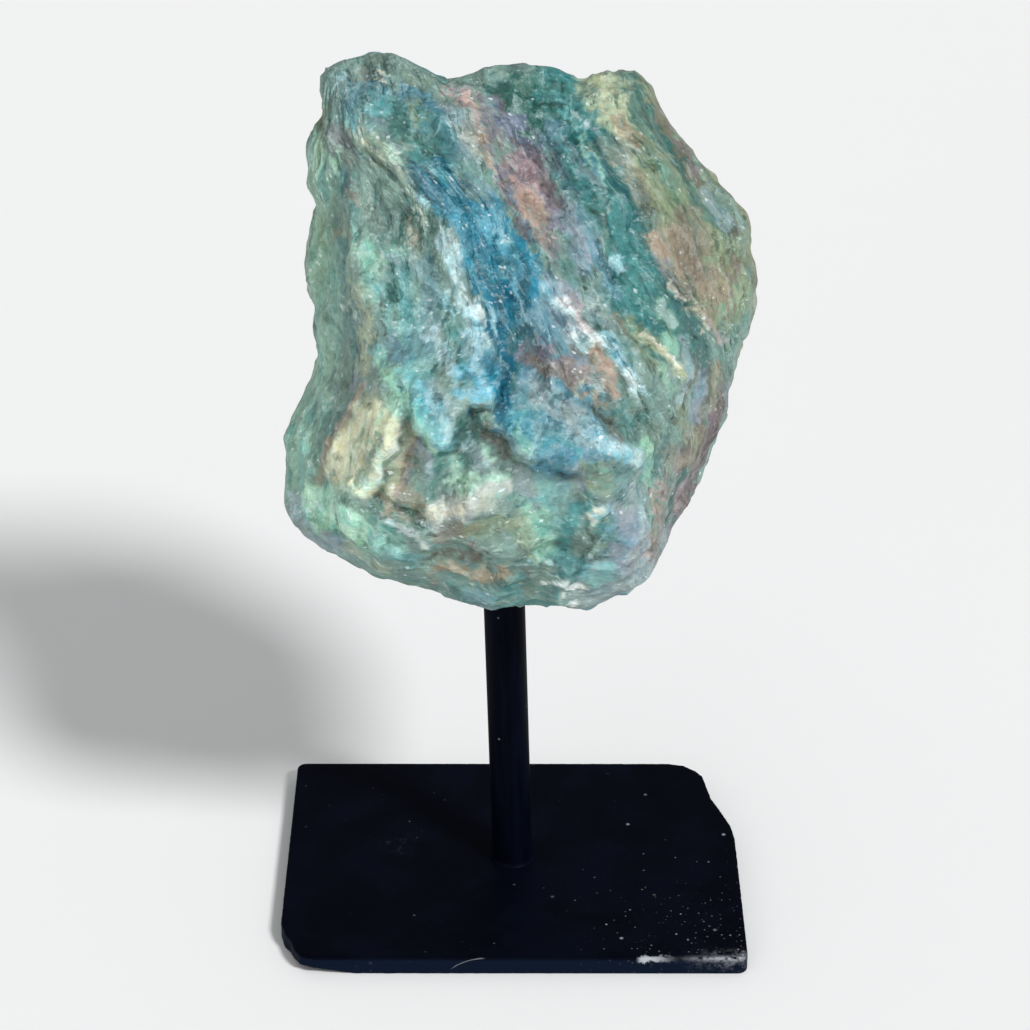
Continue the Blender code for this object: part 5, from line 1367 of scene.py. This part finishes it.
def plate_outline():
    """Evenly spaced points round the plate, the way out at each, and how worn each is, from 0 to 1."""
    turns = np.linspace(0, pi / 2, CORNER_POINTS)
    corners = []
    wear = []
    for side, start, worn_corner in ((-1, pi, WORN_BACK_RIGHT), (1, 0.0, WORN_FRONT_LEFT)):
        middle = side * np.array((PLATE_WIDTH / 2 - PLATE_CORNER, PLATE_CORNER - PLATE_DEPTH / 2))
        arc = middle + PLATE_CORNER * np.stack((np.cos(start - turns), np.sin(start - turns)), 1)
        corners.extend((arc, np.array(worn_corner)))
        wear.extend((np.zeros(len(arc)), np.ones(len(worn_corner))))
    corners.append(corners[0][:1])
    wear.append(np.zeros(1))
    corners = np.concatenate(corners)
    passed = np.concatenate(([0], np.cumsum(np.linalg.norm(np.diff(corners, axis=0), axis=1))))
    along = np.linspace(0, passed[-1], PLATE_STEPS, endpoint=False)
    outline = np.stack([np.interp(along, passed, corners[:, k]) for k in range(2)], 1)
    ahead = np.roll(outline, -2, axis=0) - np.roll(outline, 2, axis=0)
    out = unit(np.stack((-ahead[:, 1], ahead[:, 0]), 1))
    return outline, out, np.interp(along, passed, np.concatenate(wear))


def flake_height(x, y):
    """How high the underside is where the flake has come off: a slanting plane, or 0."""
    along = (x + PLATE_WIDTH / 2) / FLAKE_ALONG
    back = (y + PLATE_DEPTH / 2) / FLAKE_BACK
    return FLAKE_RISE * np.clip(1 - along - back, 0, 1)


def plate_rings(edge, wear_depth):
    """The plate, ring by ring: in from the middle of its top, round its edge, and back under it.

    On a rounded edge at turn a, a ring lies edge * (1 - sin a) inside the outline and edge * (1 - cos a)
    from the face. Where the plate is worn, points also sink by noise.
    """
    outline, out, wear = plate_outline()
    turns = np.linspace(0, pi / 2, EDGE_ROWS)
    inset = edge * (1 - np.sin(turns))
    rise = edge * (1 - np.cos(turns))
    rings = []
    top = np.full(len(outline), PLATE_THICK)
    for share in PLATE_RINGS:
        rings.append(np.column_stack((outline * share, top)))
    for step_in, step_down in zip(inset, rise):
        rings.append(np.column_stack((outline - out * step_in, top - step_down)))
    under = flake_height(*outline.T)
    for share in np.linspace(0, 1, PLATE_SIDE_ROWS + 2)[1:-1]:
        height = PLATE_THICK - edge + (under + 2 * edge - PLATE_THICK) * share
        rings.append(np.column_stack((outline, height)))
    for step_in, step_up in zip(inset[::-1], rise[::-1]):
        place = outline - out * step_in
        rings.append(np.column_stack((place, flake_height(*place.T) + step_up)))
    for share in PLATE_RINGS[::-1]:
        place = outline * share
        rings.append(np.column_stack((place, flake_height(*place.T))))
    rings = np.array(rings)
    uneven = rough(rings.reshape(-1, 3) / WEAR_PATCH, seed=71).reshape(rings.shape[:2])
    depth = wear_depth * (WEAR_MEAN + WEAR_UNEVEN * uneven)
    shares = np.linalg.norm(rings[..., :2], axis=2) / np.linalg.norm(outline, axis=1)
    rings[..., :2] -= out * (depth * wear * smooth(*WEAR_BAND, shares))[..., None]
    return rings


def pin_rings(bead_out, bead_high):
    """The pin, ring by ring from its top: turned, its rings level, each set further left by the lean.

    Its radius grows out of the bead by bead_out * (1 - height / bead_high) squared, uneven round the pin.
    """
    turn = np.linspace(0, 2 * pi, PIN_STEPS, endpoint=False)
    around = np.stack((np.cos(turn), np.sin(turn), np.zeros(PIN_STEPS)), 1)
    uneven = 1 + BEAD_UNEVEN * rough(around * BEAD_WAVES, seed=83)
    rings = []
    shaft = PIN_TOP - PLATE_THICK
    heights = np.concatenate((
        [shaft, shaft - PIN_CHAMFER],
        np.linspace(shaft - PIN_CHAMFER, bead_high, PIN_ROWS)[1:],
        np.linspace(bead_high, 0, BEAD_ROWS)[1:],
    ))
    for row, height in enumerate(heights):
        swell = bead_out * np.clip(1 - height / (bead_high * uneven), 0, 1) ** 2
        radius = PIN_RADIUS - (PIN_CHAMFER if row == 0 else 0) + swell
        ring = around * radius[:, None]
        ring[:, 0] -= height * tan(PIN_LEAN)
        ring[:, 2] = PLATE_THICK + height
        rings.append(ring)
    return np.array(rings)


class Value:
    """A node's output. Python's operators on it add Math nodes."""

    def __init__(self, finish, socket):
        self.finish = finish
        self.socket = socket

    def __add__(self, other):
        return self.finish.maths("ADD", self, other)

    def __sub__(self, other):
        return self.finish.maths("SUBTRACT", self, other)

    def __rsub__(self, other):
        return self.finish.maths("SUBTRACT", other, self)

    def __mul__(self, other):
        return self.finish.maths("MULTIPLY", self, other)

    __radd__ = __add__
    __rmul__ = __mul__


class Finish:
    """A material and the nodes that it is made of."""

    def __init__(self, name):
        self.material = bpy.data.materials.new(name)
        self.material.use_nodes = True
        self.tree = self.material.node_tree
        self.shader = self.tree.nodes["Principled BSDF"]
        place = self.node("ShaderNodeTexCoord", out="Object")
        self.place = self.vectors("DIVIDE", place, (MM, MM, MM))

    def node(self, kind, settings=None, sockets=None, out=0):
        """Adds a node: its type, its settings, which are set first, and its sockets' values or links."""
        node = self.tree.nodes.new(kind)
        for name, setting in (settings or {}).items():
            setattr(node, name, setting)
        for name, value in (sockets or {}).items():
            self.feed(node.inputs[name], value)
        return Value(self, node.outputs[out])

    def feed(self, socket, value):
        if isinstance(value, Value):
            self.tree.links.new(value.socket, socket)
        else:
            socket.default_value = value

    def maths(self, operation, *values):
        return self.node("ShaderNodeMath", {"operation": operation}, dict(enumerate(values)))

    def vectors(self, operation, *values):
        return self.node("ShaderNodeVectorMath", {"operation": operation}, dict(enumerate(values)))

    def mix(self, factor, first, second, blend="MIX"):
        """The first colour turned into the second, or multiplied by it, as far as the factor says.

        The node's inputs 6 and 7 and its output 2 are the ones for colours.
        """
        first, second = (part if isinstance(part, Value) else (*part, 1.0) for part in (first, second))
        settings = {"data_type": "RGBA", "blend_type": blend}
        return self.node("ShaderNodeMix", settings, {0: factor, 6: first, 7: second}, 2)

    def distance(self, vector, other):
        return self.node("ShaderNodeVectorMath", {"operation": "DISTANCE"}, {0: vector, 1: other}, "Value")

    def grey(self, value):
        return self.node("ShaderNodeCombineColor", sockets={0: value, 1: value, 2: value})

    def part(self, vector, number):
        """One of a vector's three numbers."""
        return self.node("ShaderNodeSeparateXYZ", sockets={0: vector}, out=number)

    def between(self, value, low, high):
        """0 at low, 1 at high, and a smooth change between."""
        sockets = {"Value": value, "From Min": low, "From Max": high}
        return self.node("ShaderNodeMapRange", {"interpolation_type": "SMOOTHSTEP"}, sockets)

    def field(self, name, out="Vector"):
        return self.node("ShaderNodeAttribute", {"attribute_name": name}, out=out)

    def sized(self, vector, across, down=None, into=None):
        """The vector with its numbers divided by sizes in millimetres."""
        return self.vectors("DIVIDE", vector, (across, down or across, into or across))

    def cloud(self, vector, detail=3.0, roughness=0.5, out="Fac"):
        sockets = {"Scale": 1.0, "Vector": vector, "Detail": detail, "Roughness": roughness}
        return self.node("ShaderNodeTexNoise", sockets=sockets, out=out)

    def cells(self, vector, out="Color"):
        return self.node("ShaderNodeTexVoronoi", sockets={"Scale": 1.0, "Vector": vector}, out=out)

    def specks(self, vector, size, radius, share):
        """Round specks, some bright and most faint: a cell's size, the speck's radius in it, and how many."""
        vector = self.sized(vector, size)
        colour = self.cells(vector)
        strength = self.part(colour, 1) * self.part(colour, 1)
        speck = self.between(self.cells(vector, "Distance"), radius, radius * 0.4)
        return speck * strength * self.between(self.part(colour, 0) - share, 0.01, -0.01)

    def bump(self, height, depth, normal=None):
        """The normal over bumps: a height of 1 stands out by depth, in metres."""
        sockets = {"Height": height, "Distance": depth, "Strength": 1.0}
        if normal is not None:
            sockets["Normal"] = normal
        return self.node("ShaderNodeBump", sockets=sockets)

    def put(self, **sockets):
        """Sets or links the shader's sockets. A name has _ for each space."""
        for name, value in sockets.items():
            self.feed(self.shader.inputs[name.replace("_", " ")], value)


def stone_patterns(finish, flow):
    """The patterns that the stone's look is mixed from, laid along its grain and a little bent.

    Blades are long where flow is 1. Blades, chips and splinters are cells, each of its own colour. The rest
    are clouds from -0.5 to 0.5, but the hue is from 0 to 1.
    """
    ragged = finish.cloud(finish.sized(finish.place, RAGGED_SIZE), roughness=0.65, out="Color")
    drift = finish.cloud(finish.sized(finish.place, DRIFT_SIZE), detail=2.0, out="Color")
    bent = finish.vectors("MULTIPLY_ADD", ragged, RAGGED_BEND, finish.field("grain"))
    bent = finish.vectors("MULTIPLY_ADD", drift, DRIFT_BEND, bent)
    short = finish.sized(bent, *SHORT_BLADE_SIZE)
    longer = finish.vectors("SUBTRACT", finish.sized(bent, *LONG_BLADE_SIZE), short)
    stretch = finish.vectors("MULTIPLY", longer, finish.grey(flow))
    blade = finish.cells(finish.vectors("ADD", short, stretch))
    chip = finish.cells(finish.sized(bent, *CHIP_SIZE))
    hue = finish.cloud(finish.sized(bent, *HUE_SIZE), detail=4.0, roughness=0.6)
    hue = hue + (finish.part(chip, 1) - 0.5) * 0.14 + (finish.part(blade, 1) - 0.5) * 0.16
    return SimpleNamespace(
        blade=blade,
        chip=chip,
        splinter=finish.cells(finish.sized(bent, *SPLINTER_SIZE)),
        streak=finish.cloud(finish.sized(bent, *STREAK_SIZE), detail=4.0, roughness=0.65) - 0.5,
        crystal=finish.cloud(finish.sized(bent, *CRYSTAL_SIZE), roughness=0.7) - 0.5,
        line=finish.cloud(finish.sized(bent, *THREAD_SIZE), roughness=0.6) - 0.5,
        mottle=finish.cloud(finish.sized(finish.place, MOTTLE_SIZE), detail=5.0, roughness=0.62) - 0.5,
        patch=finish.cloud(finish.sized(finish.place, PATCH_SIZE), roughness=0.55) - 0.5,
        hue=hue,
    )


def stone_shades(finish, settings, tint, lightness, patterns):
    """The tint, cooler and warmer in patches, lighter and darker by every pattern, and richer."""
    cool = finish.between(patterns.hue, 0.50, 0.72)
    warm = finish.between(patterns.hue, 0.50, 0.28)
    colour = finish.mix(cool, tint, settings.cool_cast, "MULTIPLY")
    colour = finish.mix(warm, colour, settings.warm_cast, "MULTIPLY")
    light = 0.95 + patterns.streak * 0.60 + patterns.crystal * 0.60
    light = light + patterns.mottle * 0.65 + patterns.patch * 0.5
    for cells in (patterns.blade, patterns.chip, patterns.splinter):
        light = light + (finish.part(cells, 0) - 0.5) * 0.16
    light = light * (0.78 + lightness * 0.75)
    colour = finish.mix(1.0, colour, finish.grey(light), "MULTIPLY")
    return finish.node("ShaderNodeHueSaturation", sockets={"Saturation": settings.richness, "Color": colour})


def painted_shade_and_cracks(finish, settings, colour, relief, patterns):
    """The colour, with painted shade in fine valleys and large hollows, and darker in cracks down the long
    blades.
    """
    ridge, lump, flow = relief
    # Painted shade: fine valleys and large hollows of the relief are darkened; the cracks are the stone's own
    # dark lines.
    valley = finish.between(patterns.mottle * 0.12 + patterns.streak * 0.10 - ridge, 0.04, 0.16)
    hollow = finish.between(patterns.mottle * 0.5 - lump, 0.10, 0.70)
    crack = finish.between(patterns.line + patterns.mottle * 0.2, -0.09, -0.19) * (flow * 0.75 + 0.25)
    darkness = valley * 0.65 + hollow * settings.hollow_shade + crack * 0.80
    return finish.mix(finish.maths("MINIMUM", darkness, 1.0), colour, settings.hollow_shade_colour, "MULTIPLY")


def stone_frost_and_highlights(finish, settings, colour, relief, patterns):
    """The colour, with a painted highlight on ridges, and frost on a few splinters and along fine threads."""
    ridge, _, flow = relief
    chance = finish.part(patterns.splinter, 0)
    thread = finish.between(patterns.line + patterns.crystal * 0.3, 0.10, 0.20) * flow
    # Painted highlight: the colour turns pale where the relief stands out in ridges.
    lit = finish.between(ridge + (chance - 0.5) * 0.20, 0.11, 0.15)
    sliver = finish.between(chance + patterns.streak * 0.9, 0.98, 1.02)
    frost = finish.maths("MAXIMUM", finish.maths("MAXIMUM", lit * 0.28, sliver * 0.4), thread * 0.45)
    return finish.mix(frost * settings.frost, colour, settings.frost_and_highlight_colour)


def stone_finish(settings):
    """Banded crystal: tinted blades and chips, pale slivers, dark cracks, painted shade and highlights, and
    painted glints on small faces.
    """
    finish = Finish("banded_stone")
    tint = finish.field("tint", "Color")
    field = finish.field("relief")
    relief = [finish.part(field, number) for number in range(3)]
    lightness = finish.node("ShaderNodeRGBToBW", sockets={0: tint})
    patterns = stone_patterns(finish, relief[2])
    colour = stone_shades(finish, settings, tint, lightness, patterns)
    colour = painted_shade_and_cracks(finish, settings, colour, relief, patterns)
    colour = stone_frost_and_highlights(finish, settings, colour, relief, patterns)
    flake = finish.between(finish.part(patterns.chip, 0) + patterns.patch * 0.6, 0.97, 0.99)
    colour = finish.mix(flake * settings.flakes, colour, settings.frost_and_highlight_colour)
    # Painted glints: a few small faces, more of them in light parts, turn near white in the colour; they are
    # also glossier.
    bright = finish.between(lightness + patterns.mottle * 1.2 + patterns.patch * 0.6, 0.34, 0.75)
    rare = 0.996 - bright * 0.10
    painted_glint = finish.between(finish.part(patterns.splinter, 1) - rare, -0.005, 0.005)
    colour = finish.mix(painted_glint * settings.glints, colour, settings.glint_colour)
    normal = finish.node("ShaderNodeNewGeometry", out="Normal")
    for cells, tilt in ((patterns.blade, 0.45), (patterns.chip, 0.45), (patterns.splinter, 0.36)):
        turned = finish.vectors("SUBTRACT", cells, (0.5, 0.5, 0.5))
        normal = finish.vectors("MULTIPLY_ADD", turned, (tilt, tilt, tilt), normal)
    height = patterns.streak * 0.5 + patterns.crystal
    finish.put(
        Base_Color=colour,
        Roughness=0.46 - painted_glint * 0.30 - flake * 0.12 + patterns.mottle * 0.4,
        Normal=finish.bump(height, settings.grain_depth, finish.vectors("NORMALIZE", normal)),
        IOR=1.57,
    )
    return finish.material


def plate_dust(finish, x, y):
    """Specks of three sizes, most of them towards the front right corner."""
    dusty = finish.between(x, 6.0, 30.0) * finish.between(y, 4.0, -24.0)
    large = finish.specks(finish.place, size=3.1, radius=0.13, share=dusty * 0.9 + 0.10)
    middling = finish.specks(finish.place, size=1.3, radius=0.18, share=dusty * 0.9)
    small = finish.specks(finish.place, size=0.7, radius=0.25, share=dusty * 0.7 + 0.01)
    return large + middling + small * 0.6


def worn_edge(finish, x, crumbs):
    """The front edge, rubbed bare: chalk and powder at its right end, and a dash left of them."""
    across_edge = finish.vectors("MULTIPLY", finish.place, (0.0, 1.0, 1.0))
    away = finish.distance(across_edge, (0.0, -PLATE_DEPTH / 2, PLATE_THICK)) + (crumbs - 0.5) * 3.4
    chalk = finish.between(away, 1.0, 0.0) * finish.between(x, 24.0, 33.0)
    chalk = chalk * finish.between(crumbs, 0.36, 0.58)
    powder = finish.between(away, 3.2, 0.6) * finish.between(x, 25.0, 35.0)
    powder = powder * finish.between(crumbs, 0.48, 0.62)
    dash = finish.between(away, 0.75, 0.35) * finish.between(x, 18.8, 19.8) * finish.between(x, 25.5, 20.5)
    return chalk + powder * 0.35 + dash


def plate_marks(finish, x, y, crumbs):
    """A thin bowed scratch on the front, part of a circle, and a faint smudge left of the pin."""
    bow = finish.distance(finish.vectors("MULTIPLY", finish.place, (1.0, 0.0, 1.0)), SCRATCH_MIDDLE)
    scratch = finish.between(finish.maths("ABSOLUTE", bow - SCRATCH_RADIUS), 0.10, 0.03)
    scratch = scratch * finish.between(y, -26.6, -26.9)
    scratch = scratch * finish.between(x, -4.0, -5.0) * finish.between(x, -9.6, -8.6)
    smear = finish.distance(finish.place, SMUDGE_MIDDLE)
    smudge = finish.between(smear, 4.0, 1.0) * finish.between(crumbs, 0.52, 0.68)
    return scratch * 0.35 + smudge * 0.05


def plate_finish(settings):
    """Near-black blue paint with a painted sheen on its sides, specks of dust, a chalky worn corner, a smudge
    and one thin scratch.
    """
    finish = Finish("plate_paint")
    x, y, z = (finish.part(finish.place, number) for number in range(3))
    patchy = finish.cloud(finish.sized(finish.place, 9.0), detail=4.0, roughness=0.6)
    crumbs = finish.cloud(finish.sized(finish.place, 1.1), detail=5.0, roughness=0.75)
    # Painted sheen: the plate's sides are a lighter navy than its top.
    side = finish.between(z, PLATE_THICK - 0.1, PLATE_THICK - 0.6)
    paint = finish.mix(finish.between(patchy, 0.35, 0.70), settings.paint, settings.light_paint)
    paint = finish.mix(side * 0.8, paint, settings.side_sheen)
    dirt = plate_dust(finish, x, y) * 0.7 + worn_edge(finish, x, crumbs) + plate_marks(finish, x, y, crumbs)
    dirt = finish.maths("MINIMUM", dirt, 1.0)
    finish.put(
        Base_Color=finish.mix(dirt, paint, settings.dust_colour),
        Roughness=0.50 + dirt * 0.4 + patchy * 0.08,
        Normal=finish.bump(patchy + dirt * 1.5, PAINT_DEPTH * MM),
        Specular_IOR_Level=settings.gloss,
    )
    return finish.material


def pin_finish(settings):
    """The same paint on the pin: smooth, with faint runs down it and a few specks of dust."""
    finish = Finish("pin_paint")
    runs = finish.cloud(finish.sized(finish.place, 1.2, 1.2, 14.0), roughness=0.6)
    paint = finish.mix(finish.between(runs, 0.35, 0.70), settings.paint, settings.light_paint)
    dust = finish.specks(finish.place, size=2.2, radius=0.12, share=0.10)
    finish.put(
        Base_Color=finish.mix(dust * 0.5, paint, settings.dust_colour),
        Roughness=0.40 + runs * 0.12 + dust * 0.3,
        Normal=finish.bump(runs, RUN_DEPTH * MM),
        Specular_IOR_Level=settings.gloss,
    )
    return finish.material


def floor_finish(settings):
    """Pale matt board with a very faint mottle."""
    finish = Finish("floor_board")
    mottle = finish.cloud(finish.sized(finish.place, 60.0), detail=4.0, roughness=0.6)
    pale = settings.floor_colour
    finish.put(
        Base_Color=finish.mix(mottle, pale, [0.985 * part for part in pale]),
        Roughness=0.85 + mottle * 0.05,
        Specular_IOR_Level=0.1,
    )
    return finish.material


def colour_property(name, description, default):
    """A setting that is a colour, as amounts of light."""
    return FloatVectorProperty(
        name=name, description=description, default=default, subtype="COLOR", size=3, min=0.0, max=1.0
    )


def share_property(name, description, default):
    """A setting that is a share, as a rule from 0 to 1."""
    return FloatProperty(name=name, description=description, default=default, subtype="FACTOR")


def length_property(name, description, default):
    """A setting that is a length, given here in millimetres and kept in metres."""
    return FloatProperty(name=name, description=description, default=default * MM, unit="LENGTH", precision=5)


class StoneSettings(bpy.types.PropertyGroup):
    """The stone's fineness and finish."""

    steps: IntProperty(
        name="Steps",
        description="Quads along each side of the six grids that the stone's surface is made of",
        default=128,
        min=16,
        max=128,
    )
    grain_depth: length_property("Grain depth", "Depth of the finest grain", 0.22)
    richness: FloatProperty(name="Richness", description="How strong the colours are", default=1.24)
    # Frost and frost colour also set the painted highlight on ridges.
    frost: share_property("Frost", "How white the ridges and slivers are", 0.55)
    flakes: share_property("Flakes", "How white the scattered pale chips are", 0.14)
    frost_and_highlight_colour: colour_property("Frost colour", "Colour of ridges, slivers and chips", (0.55, 0.68, 0.66))
    # Glints and glint colour set the painted glints on small faces.
    glints: share_property("Glints", "How white the small shining faces are", 0.6)
    glint_colour: colour_property("Glint colour", "Colour of the small shining faces", (0.80, 0.90, 0.92))
    # Hollow shade and hollow colour set the painted shade in the stone's hollows and valleys.
    hollow_shade: share_property("Hollow shade", "How dark the hollows are", 0.20)
    hollow_shade_colour: colour_property("Hollow colour", "Multiplies the colour in hollows", (0.30, 0.38, 0.38))
    cool_cast: colour_property("Cool cast", "Multiplies the colour in cool patches", (0.78, 0.97, 1.0))
    warm_cast: colour_property("Warm cast", "Multiplies the colour in warm patches", (1.0, 0.97, 0.90))


class StandSettings(bpy.types.PropertyGroup):
    """The plate's and the pin's worn edges, bead and paint."""

    edge: length_property("Edge", "Radius of the plate's rounded edges", PLATE_EDGE)
    wear_depth: length_property("Wear", "How rough the plate's worn corners are", WEAR_DEPTH)
    bead_out: length_property("Bead width", "How far the bead stands out at the foot", BEAD_OUT)
    bead_high: length_property("Bead height", "How far the bead climbs the pin", BEAD_HIGH)
    paint: colour_property("Paint", "The paint's darkest colour", (0.0009, 0.0014, 0.0045))
    light_paint: colour_property("Lighter paint", "The paint where it is thinner", (0.0018, 0.0030, 0.0085))
    # The plate's sides get this lighter navy as a painted sheen.
    side_sheen: colour_property("Edge paint", "The paint on the plate's sides", (0.0040, 0.0090, 0.0220))
    dust_colour: colour_property("Dust", "The colour of dust and worn paint", (0.42, 0.44, 0.48))
    gloss: share_property("Gloss", "How strongly the paint mirrors", 0.02)


class StageSettings(bpy.types.PropertyGroup):
    """The floor, the daylight and the two lamps."""

    floor_radius: length_property("Floor radius", "How far the floor reaches", 6000.0)
    floor_colour: colour_property("Floor", "The floor's colour", (0.93, 0.935, 0.94))
    daylight: FloatProperty(name="Daylight", description="Strength of the even light", default=0.40)
    key_light: FloatProperty(name="Key light", description="Strength of the right lamp", default=2.4)
    fill_light: FloatProperty(name="Fill light", description="Strength of the left lamp", default=0.95)


class STONE_OT_stone(bpy.types.Operator):
    """Make the rough stone, in place of its solid"""

    bl_idname = "stone.stone"
    bl_label = "Rough Stone"

    def execute(self, context):
        settings = context.scene.stone_settings
        direction, quads = six_grids(settings.steps)
        direction = unit(direction + (0, 0, FRONT_CROWDING))
        across, up, near, inward = stone_shell(direction)
        normal = normals_of(on_sight_lines(across, up, near), quads)
        near = near + both_reliefs(across, up, direction[:, 2]) * smooth(0, RELIEF_RIM, inward)
        points = on_sight_lines(across, up, near)
        tint = stone_tint(direction, across, up, near, points)
        grain = grain_of(across, up, near)
        points += normal * fine_breaks(points, across, up, near, inward)[:, None]
        points += EASE * (evened(points, quads, 1) - points)
        stone = make_surface("rough_stone", points, quads)
        stone.data.set_sharp_from_angle(angle=SHARP_ANGLE)
        normal = normals_of(points, quads)
        close = evened(points, quads, CLOSE_ROUNDS)
        far = evened(close, quads, FAR_ROUNDS)
        raised = [((points - level) * normal).sum(1) for level in (close, far)]
        relief = np.stack((*raised, flow_of(across, up, points)), 1)
        colour = np.column_stack((tint, np.ones(len(tint))))
        add_field(stone, "tint", "FLOAT_COLOR", "color", colour)
        add_field(stone, "grain", "FLOAT_VECTOR", "vector", grain)
        add_field(stone, "relief", "FLOAT_VECTOR", "vector", relief)
        stand_in(stone, "stone", stone_finish(settings))
        return {"FINISHED"}


class STONE_OT_pin(bpy.types.Operator):
    """Make the painted pin, in place of its solid"""

    bl_idname = "stone.pin"
    bl_label = "Pin"

    def execute(self, context):
        settings = context.scene.stand_settings
        rings = pin_rings(settings.bead_out / MM, settings.bead_high / MM)
        pin = make_rings("painted_pin", rings, rings[0].mean(0), rings[-1].mean(0))
        stand_in(pin, "pin", pin_finish(settings))
        return {"FINISHED"}


class STONE_OT_plate(bpy.types.Operator):
    """Make the worn, painted plate, in place of its solid"""

    bl_idname = "stone.plate"
    bl_label = "Plate"

    def execute(self, context):
        settings = context.scene.stand_settings
        rings = plate_rings(settings.edge / MM, settings.wear_depth / MM)[:, ::-1]
        plate = make_rings("painted_plate", rings, (0, 0, PLATE_THICK), (0, 0, 0))
        stand_in(plate, "base_plate", plate_finish(settings))
        return {"FINISHED"}


class STONE_OT_stage(bpy.types.Operator):
    """Make the floor, the lights and the camera"""

    bl_idname = "stone.stage"
    bl_label = "Stage"

    def execute(self, context):
        settings = context.scene.stage_settings
        self.make_floor(settings)
        self.make_lamp("key_light", settings.key_light, source=(0.62, -0.62, 0.85), softness=12)
        self.make_lamp("fill_light", settings.fill_light, source=(-0.55, -1.00, 0.05), softness=40)
        world = bpy.data.worlds.new("daylight")
        world.use_nodes = True
        sky = world.node_tree.nodes["Background"].inputs
        sky["Color"].default_value = (1.0, 1.0, 1.0, 1.0)
        sky["Strength"].default_value = settings.daylight
        context.scene.world = world
        context.scene.view_settings.view_transform = "Standard"
        lens = bpy.data.cameras.new("camera")
        lens.lens = CAMERA_LENS
        lens.sensor_width = CAMERA_SENSOR
        camera = bpy.data.objects.new("camera", lens)
        camera.location = EYE * MM
        camera.rotation_euler = (pi / 2 - SIGHT_DROP, 0, 0)
        context.scene.collection.objects.link(camera)
        context.scene.camera = camera
        return {"FINISHED"}

    def make_floor(self, settings):
        """A flat disc, its points at radius * (cos turn, sin turn) for even turns and growing radii."""
        turn = np.linspace(0, 2 * pi, FLOOR_STEPS, endpoint=False)
        reach = settings.floor_radius / MM * np.linspace(FLOOR_FIRST, 1, FLOOR_RINGS) ** 2
        x = reach[:, None] * np.cos(turn)
        y = reach[:, None] * np.sin(turn)
        points = np.stack((x, y, np.zeros_like(x)), -1)
        corner = np.arange(points.shape[0] * len(turn)).reshape(-1, len(turn))
        after = np.roll(corner, -1, axis=1)
        quads = np.stack((corner[:-1], corner[1:], after[1:], after[:-1]), -1).reshape(-1, 4)
        floor = make_surface("floor", points.reshape(-1, 3), quads, corner[:1])
        floor.data.materials.append(floor_finish(settings))

    def make_lamp(self, name, strength, source, softness):
        """A soft light from far away, from the way that source points, with softness in degrees."""
        lamp = bpy.data.lights.new(name, "SUN")
        lamp.energy = strength
        lamp.angle = radians(softness)
        obj = bpy.data.objects.new(name, lamp)
        obj.rotation_euler = Vector(source).to_track_quat("Z", "Y").to_euler()
        bpy.context.scene.collection.objects.link(obj)


class STONE_PT_panel(bpy.types.Panel):
    """Lists the specimen's pieces with their settings"""

    bl_idname = "STONE_PT_panel"
    bl_label = "Rough Stone"
    bl_space_type = "VIEW_3D"
    bl_region_type = "UI"
    bl_category = "Stone"

    def draw(self, context):
        for name in SETTINGS:
            group = getattr(context.scene, name)
            box = self.layout.box()
            for part in group.__annotations__:
                box.prop(group, part)
        for operator in OPERATORS:
            self.layout.operator(operator.bl_idname)


SETTINGS = {
    "stone_settings": StoneSettings,
    "stand_settings": StandSettings,
    "stage_settings": StageSettings,
}
OPERATORS = (STONE_OT_stage, STONE_OT_stone, STONE_OT_pin, STONE_OT_plate)
CLASSES = (*SETTINGS.values(), *OPERATORS, STONE_PT_panel)


def register():
    for cls in CLASSES:
        bpy.utils.register_class(cls)
    for name, group in SETTINGS.items():
        setattr(bpy.types.Scene, name, PointerProperty(type=group))


def unregister():
    for name in SETTINGS:
        delattr(bpy.types.Scene, name)
    for cls in reversed(CLASSES):
        bpy.utils.unregister_class(cls)


def main():
    register()
    bpy.ops.stone.stage()
    bpy.ops.stone.stone()
    bpy.ops.stone.pin()
    bpy.ops.stone.plate()


if __name__ == "__main__":
    main()
